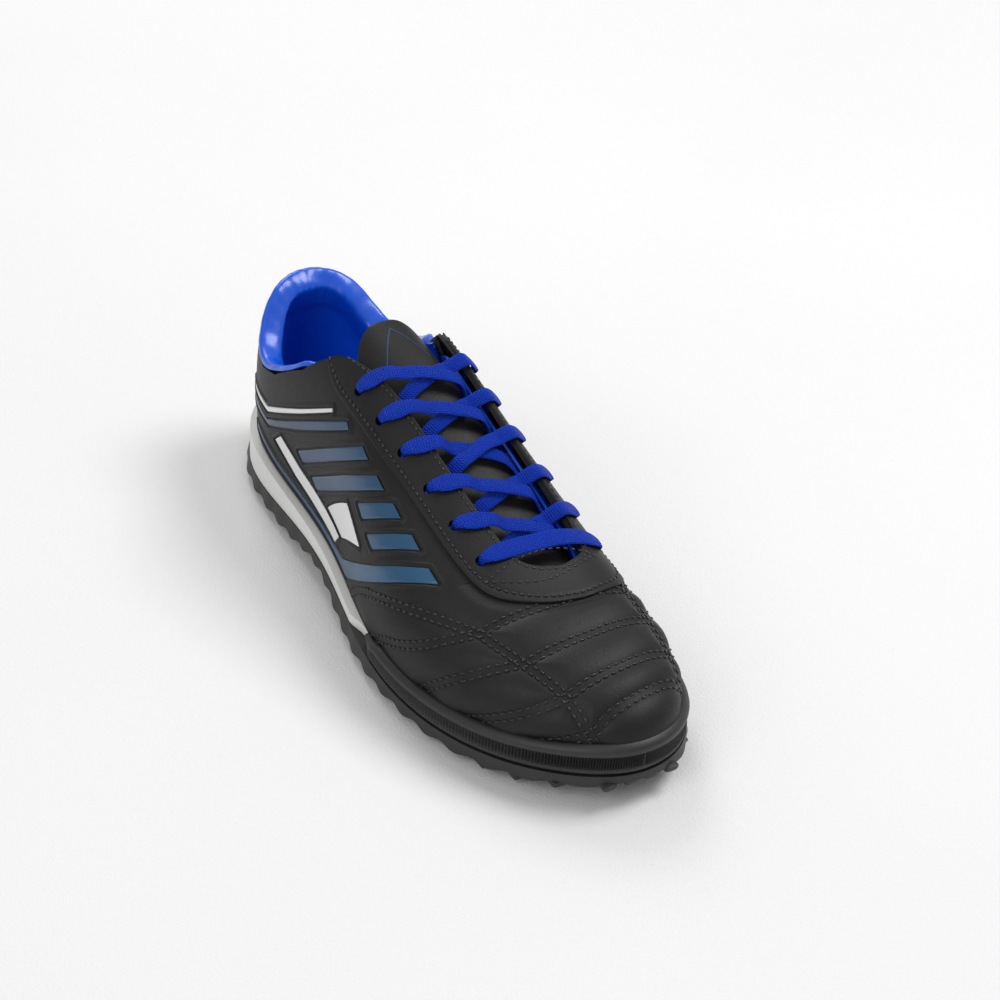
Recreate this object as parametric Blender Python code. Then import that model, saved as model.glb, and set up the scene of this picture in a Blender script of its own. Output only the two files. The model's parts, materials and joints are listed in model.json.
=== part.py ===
"""A low turf football shoe, right foot, size EU 42. X runs heel to toe, Y to the inner (medial) side."""
import bmesh
import bpy
import numpy as np
from mathutils import Matrix, Vector

# Sizes of the foot form that every piece is laid on, in metres
LAST_LENGTH = 0.276
BALL_WIDTH = 0.087
UPPER_HEIGHT = 0.116
SOLE_STACK = UPPER_HEIGHT * 0.024 / 0.116

# Layers of the upper, counted outwards from the inside surface
LINING = 0.0010
PADDING = 0.0012
SHELL = 0.0014
OVERLAY = 0.0009
TRIM = 0.0004
LAYER_GAP = 0.0005
COLLAR_PAD = 0.0046

# Sole
SOLE_RIM = 0.0090
STUD_HEIGHT = 0.0050
STUD_LENGTH = 0.0080
STUD_PITCH = 0.0135
RUBBER = 0.0026
FIT = 0.0004
WAIST_LIFT = 0.0060
TOE_SPRING = 0.0080
BUMPER = 0.0034
SOCKLINER = 0.0036

# Tongue and lace
TONGUE_FOAM = 0.0034
LACE_ROOM = 0.0034
LACE_WIDTH = 0.0078
LACE_THICK = 0.0013
EYELET = 0.0062
EYELET_ROWS = (0.383, 0.444, 0.505, 0.572, 0.636, 0.700)
EYELET_OUT = (0.303, 0.303, 0.308, 0.314, 0.316, 0.303)
FACING_HALF = 0.205
EYESTAY_HALF = 0.395

for old in list(bpy.data.objects):
    bpy.data.objects.remove(old)


def curve(points):
    """A natural cubic spline through the points, as a function of arrays."""
    x, y = np.array(points, float).T
    n = len(x)
    h = np.diff(x)
    a = np.eye(n)
    b = np.zeros(n)
    for i in range(1, n - 1):
        a[i, i - 1:i + 2] = h[i - 1], 2 * (h[i - 1] + h[i]), h[i]
        b[i] = 6 * ((y[i + 1] - y[i]) / h[i] - (y[i] - y[i - 1]) / h[i - 1])
    m = np.linalg.solve(a, b)
    t = np.linspace(x[0], x[-1], 801)
    i = np.clip(np.searchsorted(x, t) - 1, 0, n - 2)
    left = x[i + 1] - t
    right = t - x[i]
    value = (m[i] * left**3 + m[i + 1] * right**3) / (6 * h[i])
    value += (y[i] / h[i] - m[i] * h[i] / 6) * left
    value += (y[i + 1] / h[i] - m[i + 1] * h[i] / 6) * right
    return lambda at: np.interp(at, t, value)


def ramp(low, high, at):
    t = np.clip((at - low) / (high - low), 0, 1)
    return t * t * (3 - 2 * t)


def round_of(part):
    """Turns a fraction of the length, 0 heel to 1 toe, into the station u that crowds the two round ends."""
    return np.arccos(np.clip(1 - 2 * np.asarray(part, float), -1, 1)) / np.pi


def part_of(u):
    return (1 - np.cos(np.pi * u)) / 2


def widths(points):
    return curve([(round_of(at), value) for at, value in points])


# The foot form: half widths against the ball width, heights against the upper height or the sole stack
LATERAL = widths([(0, 0), (0.03, 0.195), (0.10, 0.316), (0.20, 0.356), (0.42, 0.397), (0.62, 0.514),
                  (0.72, 0.525), (0.80, 0.491), (0.90, 0.377), (0.96, 0.240), (1, 0)])
MEDIAL = widths([(0, 0), (0.03, 0.195), (0.10, 0.310), (0.20, 0.345), (0.42, 0.376), (0.62, 0.446),
                 (0.72, 0.463), (0.80, 0.463), (0.90, 0.385), (0.96, 0.260), (1, 0)])
MIDLINE = curve([(0, 0), (0.4, 0), (0.7, 0.036), (1, 0.121)])
RIDGE_SIDE = curve([(0, 0), (0.3, 0), (0.45, 0.035), (0.6, 0.075), (0.7, 0.098), (0.85, 0.115), (1, 0.115)])
FEATHER = curve([(0, 1.0), (0.2, 0.917), (0.45, 0.792), (0.65, 0.625), (0.8, 0.667), (0.9, 0.792), (1, 1.042)])
RIDGE = curve([(0, 1.0), (0.2, 0.957), (0.3, 0.910), (0.4, 0.841), (0.5, 0.728), (0.6, 0.616), (0.7, 0.510),
               (0.8, 0.433), (0.9, 0.380)])
SQUARE = curve([(0, 2.3), (0.2, 2.3), (0.4, 2.5), (0.6, 2.5), (0.8, 2.5), (1, 2.5)])
BELLY = curve([(0, 0.10), (0.2, 0.08), (0.4, 0.02), (0.6, 0.03), (0.8, 0.05), (1, 0.03)])
RIDGE_HEEL = 0.16
RIDGE_TOE = 0.90
COLLAR = curve([(0, 0.707), (0.03, 0.672), (0.07, 0.582), (0.12, 0.535), (0.17, 0.572), (0.243, 0.682),
                (0.288, 0.775), (0.32, 0.82)])
GROUND = curve([(0, 0.30), (0.04, 0.05), (0.08, 0), (0.22, 0), (0.30, 0.3), (0.40, 1), (0.50, 0.35), (0.57, 0),
                (0.80, 0), (0.86, 0.09), (0.93, 0.45), (1, 1.0)])
PLATE_TOP = curve([(0, 0.40), (0.12, 0.39), (0.3, 0.53), (0.42, 0.55), (0.5, 0.53), (0.6, 0.46), (0.7, 0.37),
                   (0.82, 0.38), (0.92, 0.50), (1, 0.66)])


def soft_low(a, b):
    return -0.03 * np.logaddexp(-a / 0.03, -b / 0.03)


def ridge_at(part):
    return -soft_low(-soft_low(part, RIDGE_TOE), -RIDGE_HEEL)


def feather_height(part):
    return SOLE_STACK * FEATHER(part)


def ridge_height(part):
    slope = (RIDGE(RIDGE_TOE) - RIDGE(RIDGE_TOE - 0.01)) / 0.01
    far = RIDGE(RIDGE_TOE) + slope * (part - RIDGE_TOE)
    return UPPER_HEIGHT * np.where(part > RIDGE_TOE, far, RIDGE(part))


def section(part, angle):
    """How far in and how far up a point of one cross-section lies, from the feather edge to the ridge."""
    power = 2 / SQUARE(part)
    c = np.clip(np.cos(angle), 0, 1)
    s = np.clip(np.sin(angle), 0, 1)
    return 1 - c**power - BELLY(part) * np.sin(2 * angle) * c * c * 1.3, s**power


def inside(u, v):
    """The inside surface: v is -1 on the outer feather edge, 0 on the ridge and 1 on the inner edge."""
    u, v = np.broadcast_arrays(np.asarray(u, float), np.asarray(v, float))
    part = part_of(u)
    side = np.where(v < 0, -1.0, 1.0)
    wide = BALL_WIDTH * np.where(v < 0, LATERAL(u), MEDIAL(u))
    edge = BALL_WIDTH * MIDLINE(part) + side * wide
    low = feather_height(part)
    over = ridge_at(part)
    inward, upward = section(part, (1 - np.abs(v)) * np.pi / 2)
    at = part + (over - part) * inward
    y = edge + (BALL_WIDTH * RIDGE_SIDE(over) - edge) * inward
    z = low + (ridge_height(at) - low) * upward
    return np.stack([LAST_LENGTH * at, y, z], -1)


def facing(u, v):
    step = 1e-3
    u = np.clip(u, 4e-3, 1 - 4e-3)
    least = 0.012 + 0.09 * ramp(0.78, 0.95, u)
    v = np.where(v < 0, -1, 1) * np.clip(np.abs(v), least, 1 - step)
    along = inside(u + step, v) - inside(u - step, v)
    across = inside(u, v + step) - inside(u, v - step)
    normal = np.cross(along, across)
    return normal / np.linalg.norm(normal, axis=-1, keepdims=True)


def skin(u, v, off=0.0):
    """The inside surface moved outwards by off. The two sides share one normal on the seams they meet at."""
    u, v, off = np.broadcast_arrays(np.asarray(u, float), np.asarray(v, float), np.asarray(off, float))
    normal = facing(u, v)
    tiny = 1e-7
    seam = (np.abs(v) < tiny) | (u < tiny) | (u > 1 - tiny)
    small = np.where(np.abs(v) < tiny, 1e-9, v)
    both = facing(u, small) + facing(u, -small)
    both /= np.linalg.norm(both, axis=-1, keepdims=True)
    normal = np.where(seam[..., None], both, normal)
    return inside(u, v) + off[..., None] * normal


def at_height(u, z):
    """The size of v where the inside surface is z high."""
    part = part_of(u)
    low = feather_height(part)
    at = part
    for _ in range(6):
        up = np.clip((z - low) / (ridge_height(at) - low), 0, 1)
        angle = np.arcsin(up**(SQUARE(part) / 2))
        at = part + (ridge_at(part) - part) * section(part, angle)[0]
    return 1 - 2 / np.pi * angle


def at_side(u, across):
    """v where the surface is a given distance round from the middle of the throat."""
    u, across = np.broadcast_arrays(np.asarray(u, float), np.asarray(across, float))
    across = across + BALL_WIDTH * THROAT_SHIFT(part_of(u))
    row = np.clip(u, 0, 1) * (len(ARCS) - 1)
    low = np.clip(row.astype(int), 0, len(ARCS) - 2)
    found = np.empty(u.shape)
    for spot in np.ndindex(u.shape):
        arc = ARCS[low[spot]] + (ARCS[low[spot] + 1] - ARCS[low[spot]]) * (row[spot] - low[spot])
        found[spot] = np.interp(across[spot], arc, ARC_V)
    return found


THROAT_SHIFT = curve([(0, 0), (0.38, 0.005), (0.5, 0.021), (0.65, 0.046), (0.8, 0.046), (1, 0.046)])
ARC_V = np.linspace(-1, 1, 241)
ARCS = inside(np.linspace(0, 1, 161)[:, None], ARC_V[None, :])
ARCS = np.linalg.norm(np.diff(ARCS, axis=1, prepend=ARCS[:, :1]), axis=-1).cumsum(axis=1)
ARCS = ARCS - ARCS[:, 120:121]


def spread(count):
    return np.linspace(0, 1, count + 1)


def sheet(along, across, place, stations=None, glued=False):
    """A closed sheet: a flat grid given a thickness, then bent into shape by place(a, b, c)."""
    bm = bmesh.new()
    bmesh.ops.create_grid(bm, x_segments=along, y_segments=across, size=0.5)
    made = bmesh.ops.extrude_face_region(bm, geom=list(bm.faces))
    outer = [item for item in made["geom"] if isinstance(item, bmesh.types.BMVert)]
    bmesh.ops.translate(bm, verts=outer, vec=(0, 0, 1))
    spots = np.array([vert.co for vert in bm.verts])
    a = np.round((spots[:, 0] + 0.5) * along) / along
    b = np.round((spots[:, 1] + 0.5) * across) / across
    if stations is not None:
        a = np.interp(a, spread(along), stations[0])
        b = np.interp(b, spread(across), stations[1])
    if glued:
        far = [face for face in bm.faces if all(vert.co.x > 0.499 for vert in face.verts)]
        bmesh.ops.delete(bm, geom=far, context="FACES_ONLY")
    for vert, point in zip(bm.verts, place(a, b, spots[:, 2])):
        vert.co = point
    if glued:
        bmesh.ops.remove_doubles(bm, verts=list(bm.verts), dist=1e-5)
    return outwards(bm)


def outwards(bm):
    bmesh.ops.recalc_face_normals(bm, faces=list(bm.faces))
    if bm.calc_volume(signed=True) < 0:
        bmesh.ops.reverse_faces(bm, faces=list(bm.faces))
    return bm


def material(name, color, roughness, metallic=0.0):
    made = bpy.data.materials.new(name)
    made.use_nodes = True
    made.diffuse_color = (*color, 1)
    shader = made.node_tree.nodes["Principled BSDF"]
    shader.inputs["Base Color"].default_value = (*color, 1)
    shader.inputs["Roughness"].default_value = roughness
    shader.inputs["Metallic"].default_value = metallic
    return made


BLACK = (0.012, 0.012, 0.013)
RUBBER_BLACK = (0.018, 0.018, 0.019)
BLUE = (0.004, 0.055, 0.55)
STRIPE_BLUE = (0.012, 0.075, 0.16)
WHITE = (0.72, 0.71, 0.68)
GREY = (0.20, 0.20, 0.20)


def add(name, bm, color, roughness, pivot=(0, 0, 0)):
    """Makes the node, with its origin at the pivot and the whole shoe's middle at the world's origin."""
    middle = Vector((CENTRE_X, CENTRE_Y, 0))
    pivot = Vector(pivot)
    bmesh.ops.transform(bm, matrix=Matrix.Translation(-pivot), verts=list(bm.verts))
    mesh = bpy.data.meshes.new(name)
    bm.to_mesh(mesh)
    bm.free()
    mesh.materials.append(material(name, color, roughness))
    obj = bpy.data.objects.new(name, mesh)
    obj.location = pivot - middle
    bpy.context.scene.collection.objects.link(obj)
    return obj


def floor_plan(u, w, off, z):
    """A point inside the level outline: w runs from -1 on the outer side to 1 on the inner side."""
    outer = skin(u, -1.0 + 0 * u, off)
    inner = skin(u, 1.0 + 0 * u, off)
    spot = outer + (inner - outer) * ((w + 1) / 2)[:, None]
    spot[:, 2] = z
    return spot


outline = np.concatenate([skin(spread(200), -np.ones(201), SOLE_RIM), skin(spread(200), np.ones(201), SOLE_RIM)])
CENTRE_X = (outline[:, 0].min() + outline[:, 0].max()) / 2
CENTRE_Y = (outline[:, 1].min() + outline[:, 1].max()) / 2


# Sole: one rubber outsole with its studs, a foam midsole, and the rubber bumper round the toe
def ground_height(part):
    lift = np.where(part < 0.52, WAIST_LIFT, TOE_SPRING)
    height = lift * np.clip(GROUND(part), 0, 2)
    return np.where(height < 2e-4, 0, height)


def plate_top(part):
    return SOLE_STACK * PLATE_TOP(part)


def plate_bottom(part):
    return np.minimum(plate_top(part) - RUBBER, ground_height(part) + STUD_HEIGHT)


def make_outsole():
    middle_x = floor_plan(spread(400), np.zeros(401), SOLE_RIM, 0)[:, 0]
    start, end = middle_x[0], middle_x[-1]
    rows = int((end - start - STUD_LENGTH) // STUD_PITCH) + 1
    first = start + (end - start - (rows - 1) * STUD_PITCH - STUD_LENGTH) / 2
    marks = [start]
    for row in range(rows):
        marks += [first + row * STUD_PITCH, first + row * STUD_PITCH + STUD_LENGTH]
    marks.append(end)
    along = np.interp(marks, middle_x, spread(400))
    across = np.array([0, 0.025, 0.2, 0.29, 0.46, 0.54, 0.71, 0.8, 0.975, 1])

    def place(a, b, c):
        part = part_of(a)
        z = np.where(c > 0.5, plate_top(part), plate_bottom(part))
        return floor_plan(a, 2 * b - 1, SOLE_RIM, z)

    bm = sheet(len(along) - 1, len(across) - 1, place, (along, across))
    bmesh.ops.remove_doubles(bm, verts=list(bm.verts), dist=1e-5)
    columns = (across[1:-1:2] + across[2::2]) / 2
    underside = [face for face in bm.faces if face.normal.z < -0.7]
    for row in range(rows):
        x = first + row * STUD_PITCH + STUD_LENGTH / 2
        u = np.interp(x, middle_x, spread(400))
        if 0.33 < part_of(u) < 0.47:
            continue
        for column in columns:
            spot = Vector(floor_plan(np.array([u]), np.array([2 * column - 1]), SOLE_RIM, 0)[0])
            near = min(underside, key=lambda face: (face.calc_center_median().xy - spot.xy).length)
            grown = bmesh.ops.extrude_discrete_faces(bm, faces=[near])["faces"][0]
            underside.remove(near)
            centre = grown.calc_center_median()
            for vert in grown.verts:
                vert.co = centre + (vert.co - centre) * 0.78
                vert.co.z = float(ground_height(part_of(u)))
    return outwards(bm)


def place_midsole(a, b, c):
    part = part_of(a)
    off = SOLE_RIM - 0.001 - (SOLE_RIM - 0.001 - BUMPER_IN + LAYER_GAP) * ramp(0.550, 0.588, part)
    z = np.where(c > 0.5, feather_height(part) - FIT, plate_top(part) + FIT)
    return floor_plan(a, 2 * b - 1, off, z)


BUMPER_IN = LINING + PADDING + SHELL + 3 * LAYER_GAP + 0.0004
TOE_BAND = round_of(1) - round_of(0.605)


def place_bumper(a, b, c):
    t = (2 * a - 1) * TOE_BAND
    u = 1 - np.abs(t)
    part = part_of(u)
    low = plate_top(part) + FIT
    high = feather_height(part) + 0.0045 * (0.3 + 0.7 * ramp(0.605, 0.66, part))
    z = low + (high - low) * b
    swell = (0.45 + 0.55 * ramp(0.605, 0.64, part)) * (1 - 0.35 * ramp(0.8, 1.0, b))
    off = BUMPER_IN + c * BUMPER * swell
    v = np.where(t < 0, -1, 1) * at_height(u, z)
    spot = skin(u, v, off)
    spot[:, 2] = z
    return spot


def place_board(a, b, c):
    part = part_of(a)
    z = feather_height(part) + FIT + 0.0011 * c
    return floor_plan(a, 2 * b - 1, -0.0008, z)


def place_sockliner(a, b, c):
    part = part_of(a)
    z = feather_height(part) + 2 * FIT + 0.0012 + SOCKLINER * c
    return floor_plan(a, 2 * b - 1, -0.0016, z)


def build_sole():
    add("outsole", make_outsole(), RUBBER_BLACK, 0.55)
    for name, place, color, roughness in (
            ("midsole", place_midsole, WHITE, 0.6),
            ("insole_board", place_board, GREY, 0.9)):
        bm = sheet(36, 4, place)
        bmesh.ops.remove_doubles(bm, verts=list(bm.verts), dist=1e-5)
        add(name, bm, color, roughness)
    add("toe_bumper", sheet(36, 3, place_bumper), RUBBER_BLACK, 0.4)
    bm = sheet(30, 4, place_sockliner)
    bmesh.ops.remove_doubles(bm, verts=list(bm.verts), dist=1e-5)
    toe = place_sockliner(np.array([1.0]), np.array([0.5]), np.array([0.0]))[0]
    add("sockliner", bm, BLUE, 0.8, (toe[0] - 0.002, CENTRE_Y, toe[2]))


build_sole()


# Upper: edges are drawn as (part of the length, v), then filled smoothly between four edges
def edge(points, smooth=True):
    spots = np.array([(float(round_of(at)), float(v)) for at, v in points])
    steps = np.hypot(np.diff(spots[:, 0]) * 0.33, np.diff(spots[:, 1]) * 0.07)
    t = np.concatenate([[0], np.cumsum(steps)]) / steps.sum()
    if smooth and len(points) > 2:
        u = curve(list(zip(t, spots[:, 0])))
        v = curve(list(zip(t, spots[:, 1])))
        return lambda at: np.stack([u(at), v(at)], -1)
    return lambda at: np.stack([np.interp(at, t, spots[:, 0]), np.interp(at, t, spots[:, 1])], -1)


def fill(bottom, top, left, right):
    """Blends four edges into a patch of (u, v) over (a, b)."""
    def at(a, b):
        a = a[:, None]
        b = b[:, None]
        flat = a[:, 0]
        tall = b[:, 0]
        corners = (1 - a) * (1 - b) * bottom(flat * 0) + a * (1 - b) * bottom(flat * 0 + 1)
        corners += (1 - a) * b * top(flat * 0) + a * b * top(flat * 0 + 1)
        return (1 - b) * bottom(flat) + b * top(flat) + (1 - a) * left(tall) + a * right(tall) - corners
    return at


def layer(patch, low, high, side=-1):
    """The place function of a patch drawn for the outer side, or mirrored to the inner side."""
    def place(a, b, c):
        spot = patch(a, b)
        return skin(spot[:, 0], -side * spot[:, 1], low + (high - low) * c)
    return place


def on_top(part, across, side=-1):
    """(part, v) of a point given by its distance from the middle of the throat, in ball widths."""
    return part, -abs(float(at_side(round_of(part), -side * across * BALL_WIDTH)))


def at_collar(part, below=0.0):
    u = round_of(part)
    return part, -float(at_height(u, UPPER_HEIGHT * COLLAR(part) - below))


SHELL_IN = LINING + PADDING + 2 * LAYER_GAP
SHELL_OUT = SHELL_IN + SHELL
OVER_IN = SHELL_OUT + LAYER_GAP
OVER_OUT = OVER_IN + OVERLAY
PAD_IN = LINING + LAYER_GAP
PAD_OUT = PAD_IN + PADDING
HEEL_GAP = 0.00002

FACING_EDGE = [(0.392, -0.205), (0.543, -0.198), (0.688, -0.180)]
COLLAR_POINTS = (0, 0.03, 0.07, 0.12, 0.17, 0.243, 0.288)


def seam_line(side, shift=0.0):
    """The join of quarter and vamp, from the feather edge up to the front of the throat."""
    low, high = (-0.726, -0.53) if side < 0 else (-0.76, -0.63)
    points = [(0.521, -1), (0.655, low), (0.703, high), on_top(0.718, -0.37, side), on_top(0.724, -0.150, side)]
    return edge([(at + shift, v) for at, v in points])


def quarter_patch(side, start, top_points):
    top = edge(top_points, False)
    bottom = edge([(start, -1), (0.521, -1)])
    left = edge([(start, -1), top_points[0]])
    return fill(bottom, top, left, seam_line(side))


def build_quarters():
    collar = [at_collar(at) for at in COLLAR_POINTS]
    made = []
    for side, word in ((-1, "lateral"), (1, "medial")):
        corner = [on_top(0.304, -0.40, side), on_top(0.360, -0.245, side)]
        throat = [on_top(at, across, side) for at, across in FACING_EDGE + [(0.724, -0.150)]]
        outer = quarter_patch(side, HEEL_GAP, [(HEEL_GAP, collar[0][1])] + collar[1:] + corner + throat)
        inner = quarter_patch(side, 0.310, [on_top(0.310, -0.385, side)] + corner[1:] + throat)
        shell = sheet(28, 8, layer(outer, SHELL_IN, SHELL_OUT, side))
        made.append(add("quarter_" + word, shell, BLACK, 0.5))
        lining = sheet(18, 8, layer(inner, 0, LINING, side))
        made.append(add("quarter_lining_" + word, lining, BLUE, 0.7))
    return made


SEAM_GAP = 0.0022


def rear_edge(shift):
    outer = seam_line(-1, shift)
    inner = seam_line(1, shift)
    ends = [on_top(0.724 + shift, -0.150, side) for side in (-1, 1)]
    sides = [on_top(0.742 + shift, -0.085, side) for side in (-1, 1)]
    middle = float(at_side(round_of(0.748 + shift), 0))
    tip = edge([ends[0], sides[0], (0.748 + shift, middle), (sides[1][0], -sides[1][1]), (ends[1][0], -ends[1][1])])

    def at(b):
        far = inner(np.clip((1 - b) / 0.4, 0, 1)) * (1, -1)
        near = outer(np.clip(b / 0.4, 0, 1))
        between = tip(np.clip((b - 0.4) / 0.2, 0, 1))
        b = b[:, None]
        return np.where(b < 0.4, near, np.where(b > 0.6, far, between))

    return at


def toe_patch(rear):
    def at(a, b):
        front = np.stack([np.ones_like(b), 2 * b - 1], -1)
        back = rear(b)
        return back + (front - back) * a[:, None]
    return at


def part_patch(patch, a_range, b_range):
    def at(a, b):
        return patch(a_range[0] + (a_range[1] - a_range[0]) * a, b_range[0] + (b_range[1] - b_range[0]) * b)
    return at


def place_puff(a, b, c):
    t = (2 * a - 1) * float(round_of(1) - round_of(0.90))
    v = np.where(t < 0, -1, 1) * (1 - 0.66 * b)
    return skin(1 - np.abs(t), v, PAD_IN + 0.0001 + (PADDING - 0.0002) * c)


def build_toe():
    vamp = toe_patch(rear_edge(SEAM_GAP))
    lining = toe_patch(rear_edge(1.6 * SEAM_GAP))
    foam = part_patch(lining, (0.1, 0.3), (0.1, 0.9))
    add("vamp", sheet(20, 20, layer(vamp, SHELL_IN, SHELL_OUT), glued=True), BLACK, 0.5)
    add("vamp_lining", sheet(10, 20, layer(lining, 0, LINING), glued=True), BLUE, 0.7)
    add("toe_puff", sheet(14, 4, place_puff), WHITE, 0.7)
    add("vamp_foam", sheet(3, 16, layer(foam, PAD_IN, PAD_OUT)), GREY, 0.9)


EYESTAY_OUT = [(0.304, -0.400), (0.395, -0.395), (0.565, -0.395), (0.700, -0.392), (0.752, -0.345),
               (0.788, -0.215), (0.804, -0.080), (0.807, 0)]
EYESTAY_IN = [(0.390, -0.205), (0.543, -0.198), (0.688, -0.180), (0.721, -0.150), (0.738, -0.075), (0.744, 0)]


def both_ways(points):
    half = [on_top(*point) for point in points]
    other = [on_top(at, across, 1) for at, across in points[-2::-1]]
    middle = float(at_side(round_of(points[-1][0]), 0))
    return half[:-1] + [(points[-1][0], middle)] + [(at, -v) for at, v in other]


def build_eyestay():
    out = edge(both_ways(EYESTAY_OUT))
    ins = edge(both_ways(EYESTAY_IN))

    def patch(a, b):
        return out(a) + (ins(a) - out(a)) * b[:, None]

    return add("eyestay", sheet(44, 3, layer(patch, OVER_IN, OVER_OUT)), BLACK, 0.45)


def hole_frame(row, side):
    u = round_of(EYELET_ROWS[row])
    v = float(at_side(u, side * EYELET_OUT[row] * BALL_WIDTH))
    centre = skin(u, v, 0.0)
    return centre, skin(u, v, 0.001) - centre


def punch_eyelets(pieces):
    bm = bmesh.new()
    for side in (-1, 1):
        for row in range(6):
            centre, out = hole_frame(row, side)
            turn = Vector(out).to_track_quat("Z", "Y").to_matrix().to_4x4()
            middle = Vector(centre) + Vector(out).normalized() * (OVER_OUT / 2)
            bmesh.ops.create_cone(bm, cap_ends=True, segments=8, radius1=EYELET / 2, radius2=EYELET / 2,
                                  depth=OVER_OUT + 0.003, matrix=Matrix.Translation(middle) @ turn)
    cutter = add("eyelet_punch", bm, GREY, 0.5)
    cutter.hide_render = True
    cutter.display_type = "WIRE"
    for piece in pieces:
        cut = piece.modifiers.new("eyelets", "BOOLEAN")
        cut.operation = "DIFFERENCE"
        cut.solver = "EXACT"
        cut.object = cutter


build_toe()
punch_eyelets(build_quarters() + [build_eyestay()])


# Heel and collar: s runs from the outer side through the heel, at 0, to the inner side
def heel_point(s, z, off):
    u = np.abs(s)
    return skin(u, np.where(s < 0, -1, 1) * at_height(u, z), off)


def place_heel_overlay(a, b, c):
    s = (2 * a - 1) * (0.118 - 0.03 * b)
    part = part_of(np.abs(s))
    low = feather_height(part) + 0.0006
    high = UPPER_HEIGHT * COLLAR(part) - 0.004
    return heel_point(s, low + (high - low) * b, OVER_IN + OVERLAY * c)


def place_counter(a, b, c):
    s = (2 * a - 1) * float(round_of(0.20))
    part = part_of(np.abs(s))
    low = feather_height(part) + 0.0006
    high = UPPER_HEIGHT * COLLAR(part) - 0.024 - 0.004 * (2 * a - 1)**4
    return heel_point(s, low + (high - low) * b, PAD_IN + PADDING * c)


def collar_swell(part):
    return 1 - 0.9 * ramp(0.17, 0.285, part)


# The collar lining's course: height above the collar line, share of the pad inwards, share of the wall outwards
COLLAR_ROLL = ((-0.018, 0.15, 0.11), (-0.009, 0.72, 0.11), (-0.002, 1, 0.11), (0.0015, 0.85, 0), (0.0034, 0.42, 0.3),
               (0.0042, 0, 0.62), (0.0036, 0, 0.94), (0.0020, 0, 1.03))


def collar_middle(a, b):
    s = (2 * a - 1) * float(round_of(0.3035))
    part = part_of(np.abs(s))
    top = UPPER_HEIGHT * COLLAR(part)
    base = feather_height(part) + 0.0006
    swell = collar_swell(part) * COLLAR_PAD
    heights = [base, base + (top - 0.018 - base) * 0.5]
    offs = [0 * s + LINING / 2, 0 * s + LINING / 2]
    for height, inward, outward in COLLAR_ROLL:
        heights.append(top + height)
        offs.append(outward * SHELL_OUT - inward * swell)
    row = b * (len(heights) - 1)
    low = np.clip(row.astype(int), 0, len(heights) - 2)
    share = row - low
    high = np.choose(low, heights[:-1]) * (1 - share) + np.choose(low, heights[1:]) * share
    off = np.choose(low, offs[:-1]) * (1 - share) + np.choose(low, offs[1:]) * share
    return heel_point(s, high, off)


def place_collar_lining(a, b, c):
    step = 0.05
    round_heel = collar_middle(np.clip(a + 0.01, 0, 1), b) - collar_middle(np.clip(a - 0.01, 0, 1), b)
    upwards = collar_middle(a, np.clip(b + step, 0, 1)) - collar_middle(a, np.clip(b - step, 0, 1))
    normal = np.cross(round_heel, upwards)
    normal /= np.linalg.norm(normal, axis=-1, keepdims=True)
    return collar_middle(a, b) + ((0.5 - c) * LINING)[:, None] * normal


def place_collar_foam(a, b, c):
    s = (2 * a - 1) * float(round_of(0.295))
    part = part_of(np.abs(s))
    top = UPPER_HEIGHT * COLLAR(part)
    swell = collar_swell(part) * COLLAR_PAD
    height = np.interp(b, spread(4), (-0.021, -0.016, -0.009, -0.003, 0.0))
    inward = np.interp(b, spread(4), (0.04, 0.26, 0.70, 0.92, 0.80))
    face = LINING + LAYER_GAP - inward * swell
    return heel_point(s, top + height, np.where(c > 0.5, PAD_OUT, face))


def build_heel():
    add("heel_overlay", sheet(10, 6, place_heel_overlay), BLACK, 0.45)
    add("heel_counter", sheet(18, 4, place_counter), WHITE, 0.7)
    add("collar_lining", sheet(32, 9, place_collar_lining), BLUE, 0.35)
    add("collar_foam", sheet(26, 4, place_collar_foam), GREY, 0.9)


build_heel()


# Tongue: three layers sewn in at the front end of the throat
TONGUE_BASE = 0.770
TONGUE_TIP = 0.282


def place_tongue(low, high, inset=0.0):
    def place(a, b, c):
        w = 2 * b - 1
        tip = TONGUE_TIP + 0.035 * np.abs(w)**3 + inset / LAST_LENGTH
        part = TONGUE_BASE + (tip - TONGUE_BASE) * a
        half = BALL_WIDTH * np.interp(a, (0, 0.3, 0.7, 0.94, 1), (0.19, 0.235, 0.29, 0.29, 0.265)) - inset
        u = round_of(part)
        off = low + (high - low) * c
        return skin(u, at_side(u, w * half), -LACE_ROOM + off)
    return place


def build_tongue():
    hinge = skin(round_of(0.755), 0.0, -LACE_ROOM - TONGUE_FOAM / 2)
    pivot = (hinge[0], CENTRE_Y, hinge[2])
    back = -SKIN_TONGUE - 2 * FIT
    add("tongue_outer", sheet(16, 8, place_tongue(-SKIN_TONGUE, 0)), BLACK, 0.5, pivot)
    add("tongue_foam", sheet(16, 8, place_tongue(back - TONGUE_FOAM, back, 0.002)), GREY, 0.9, pivot)
    back -= TONGUE_FOAM + 2 * FIT
    add("tongue_lining", sheet(16, 8, place_tongue(back - 0.0008, back)), BLUE, 0.7, pivot)


SKIN_TONGUE = 0.0010
build_tongue()


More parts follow.
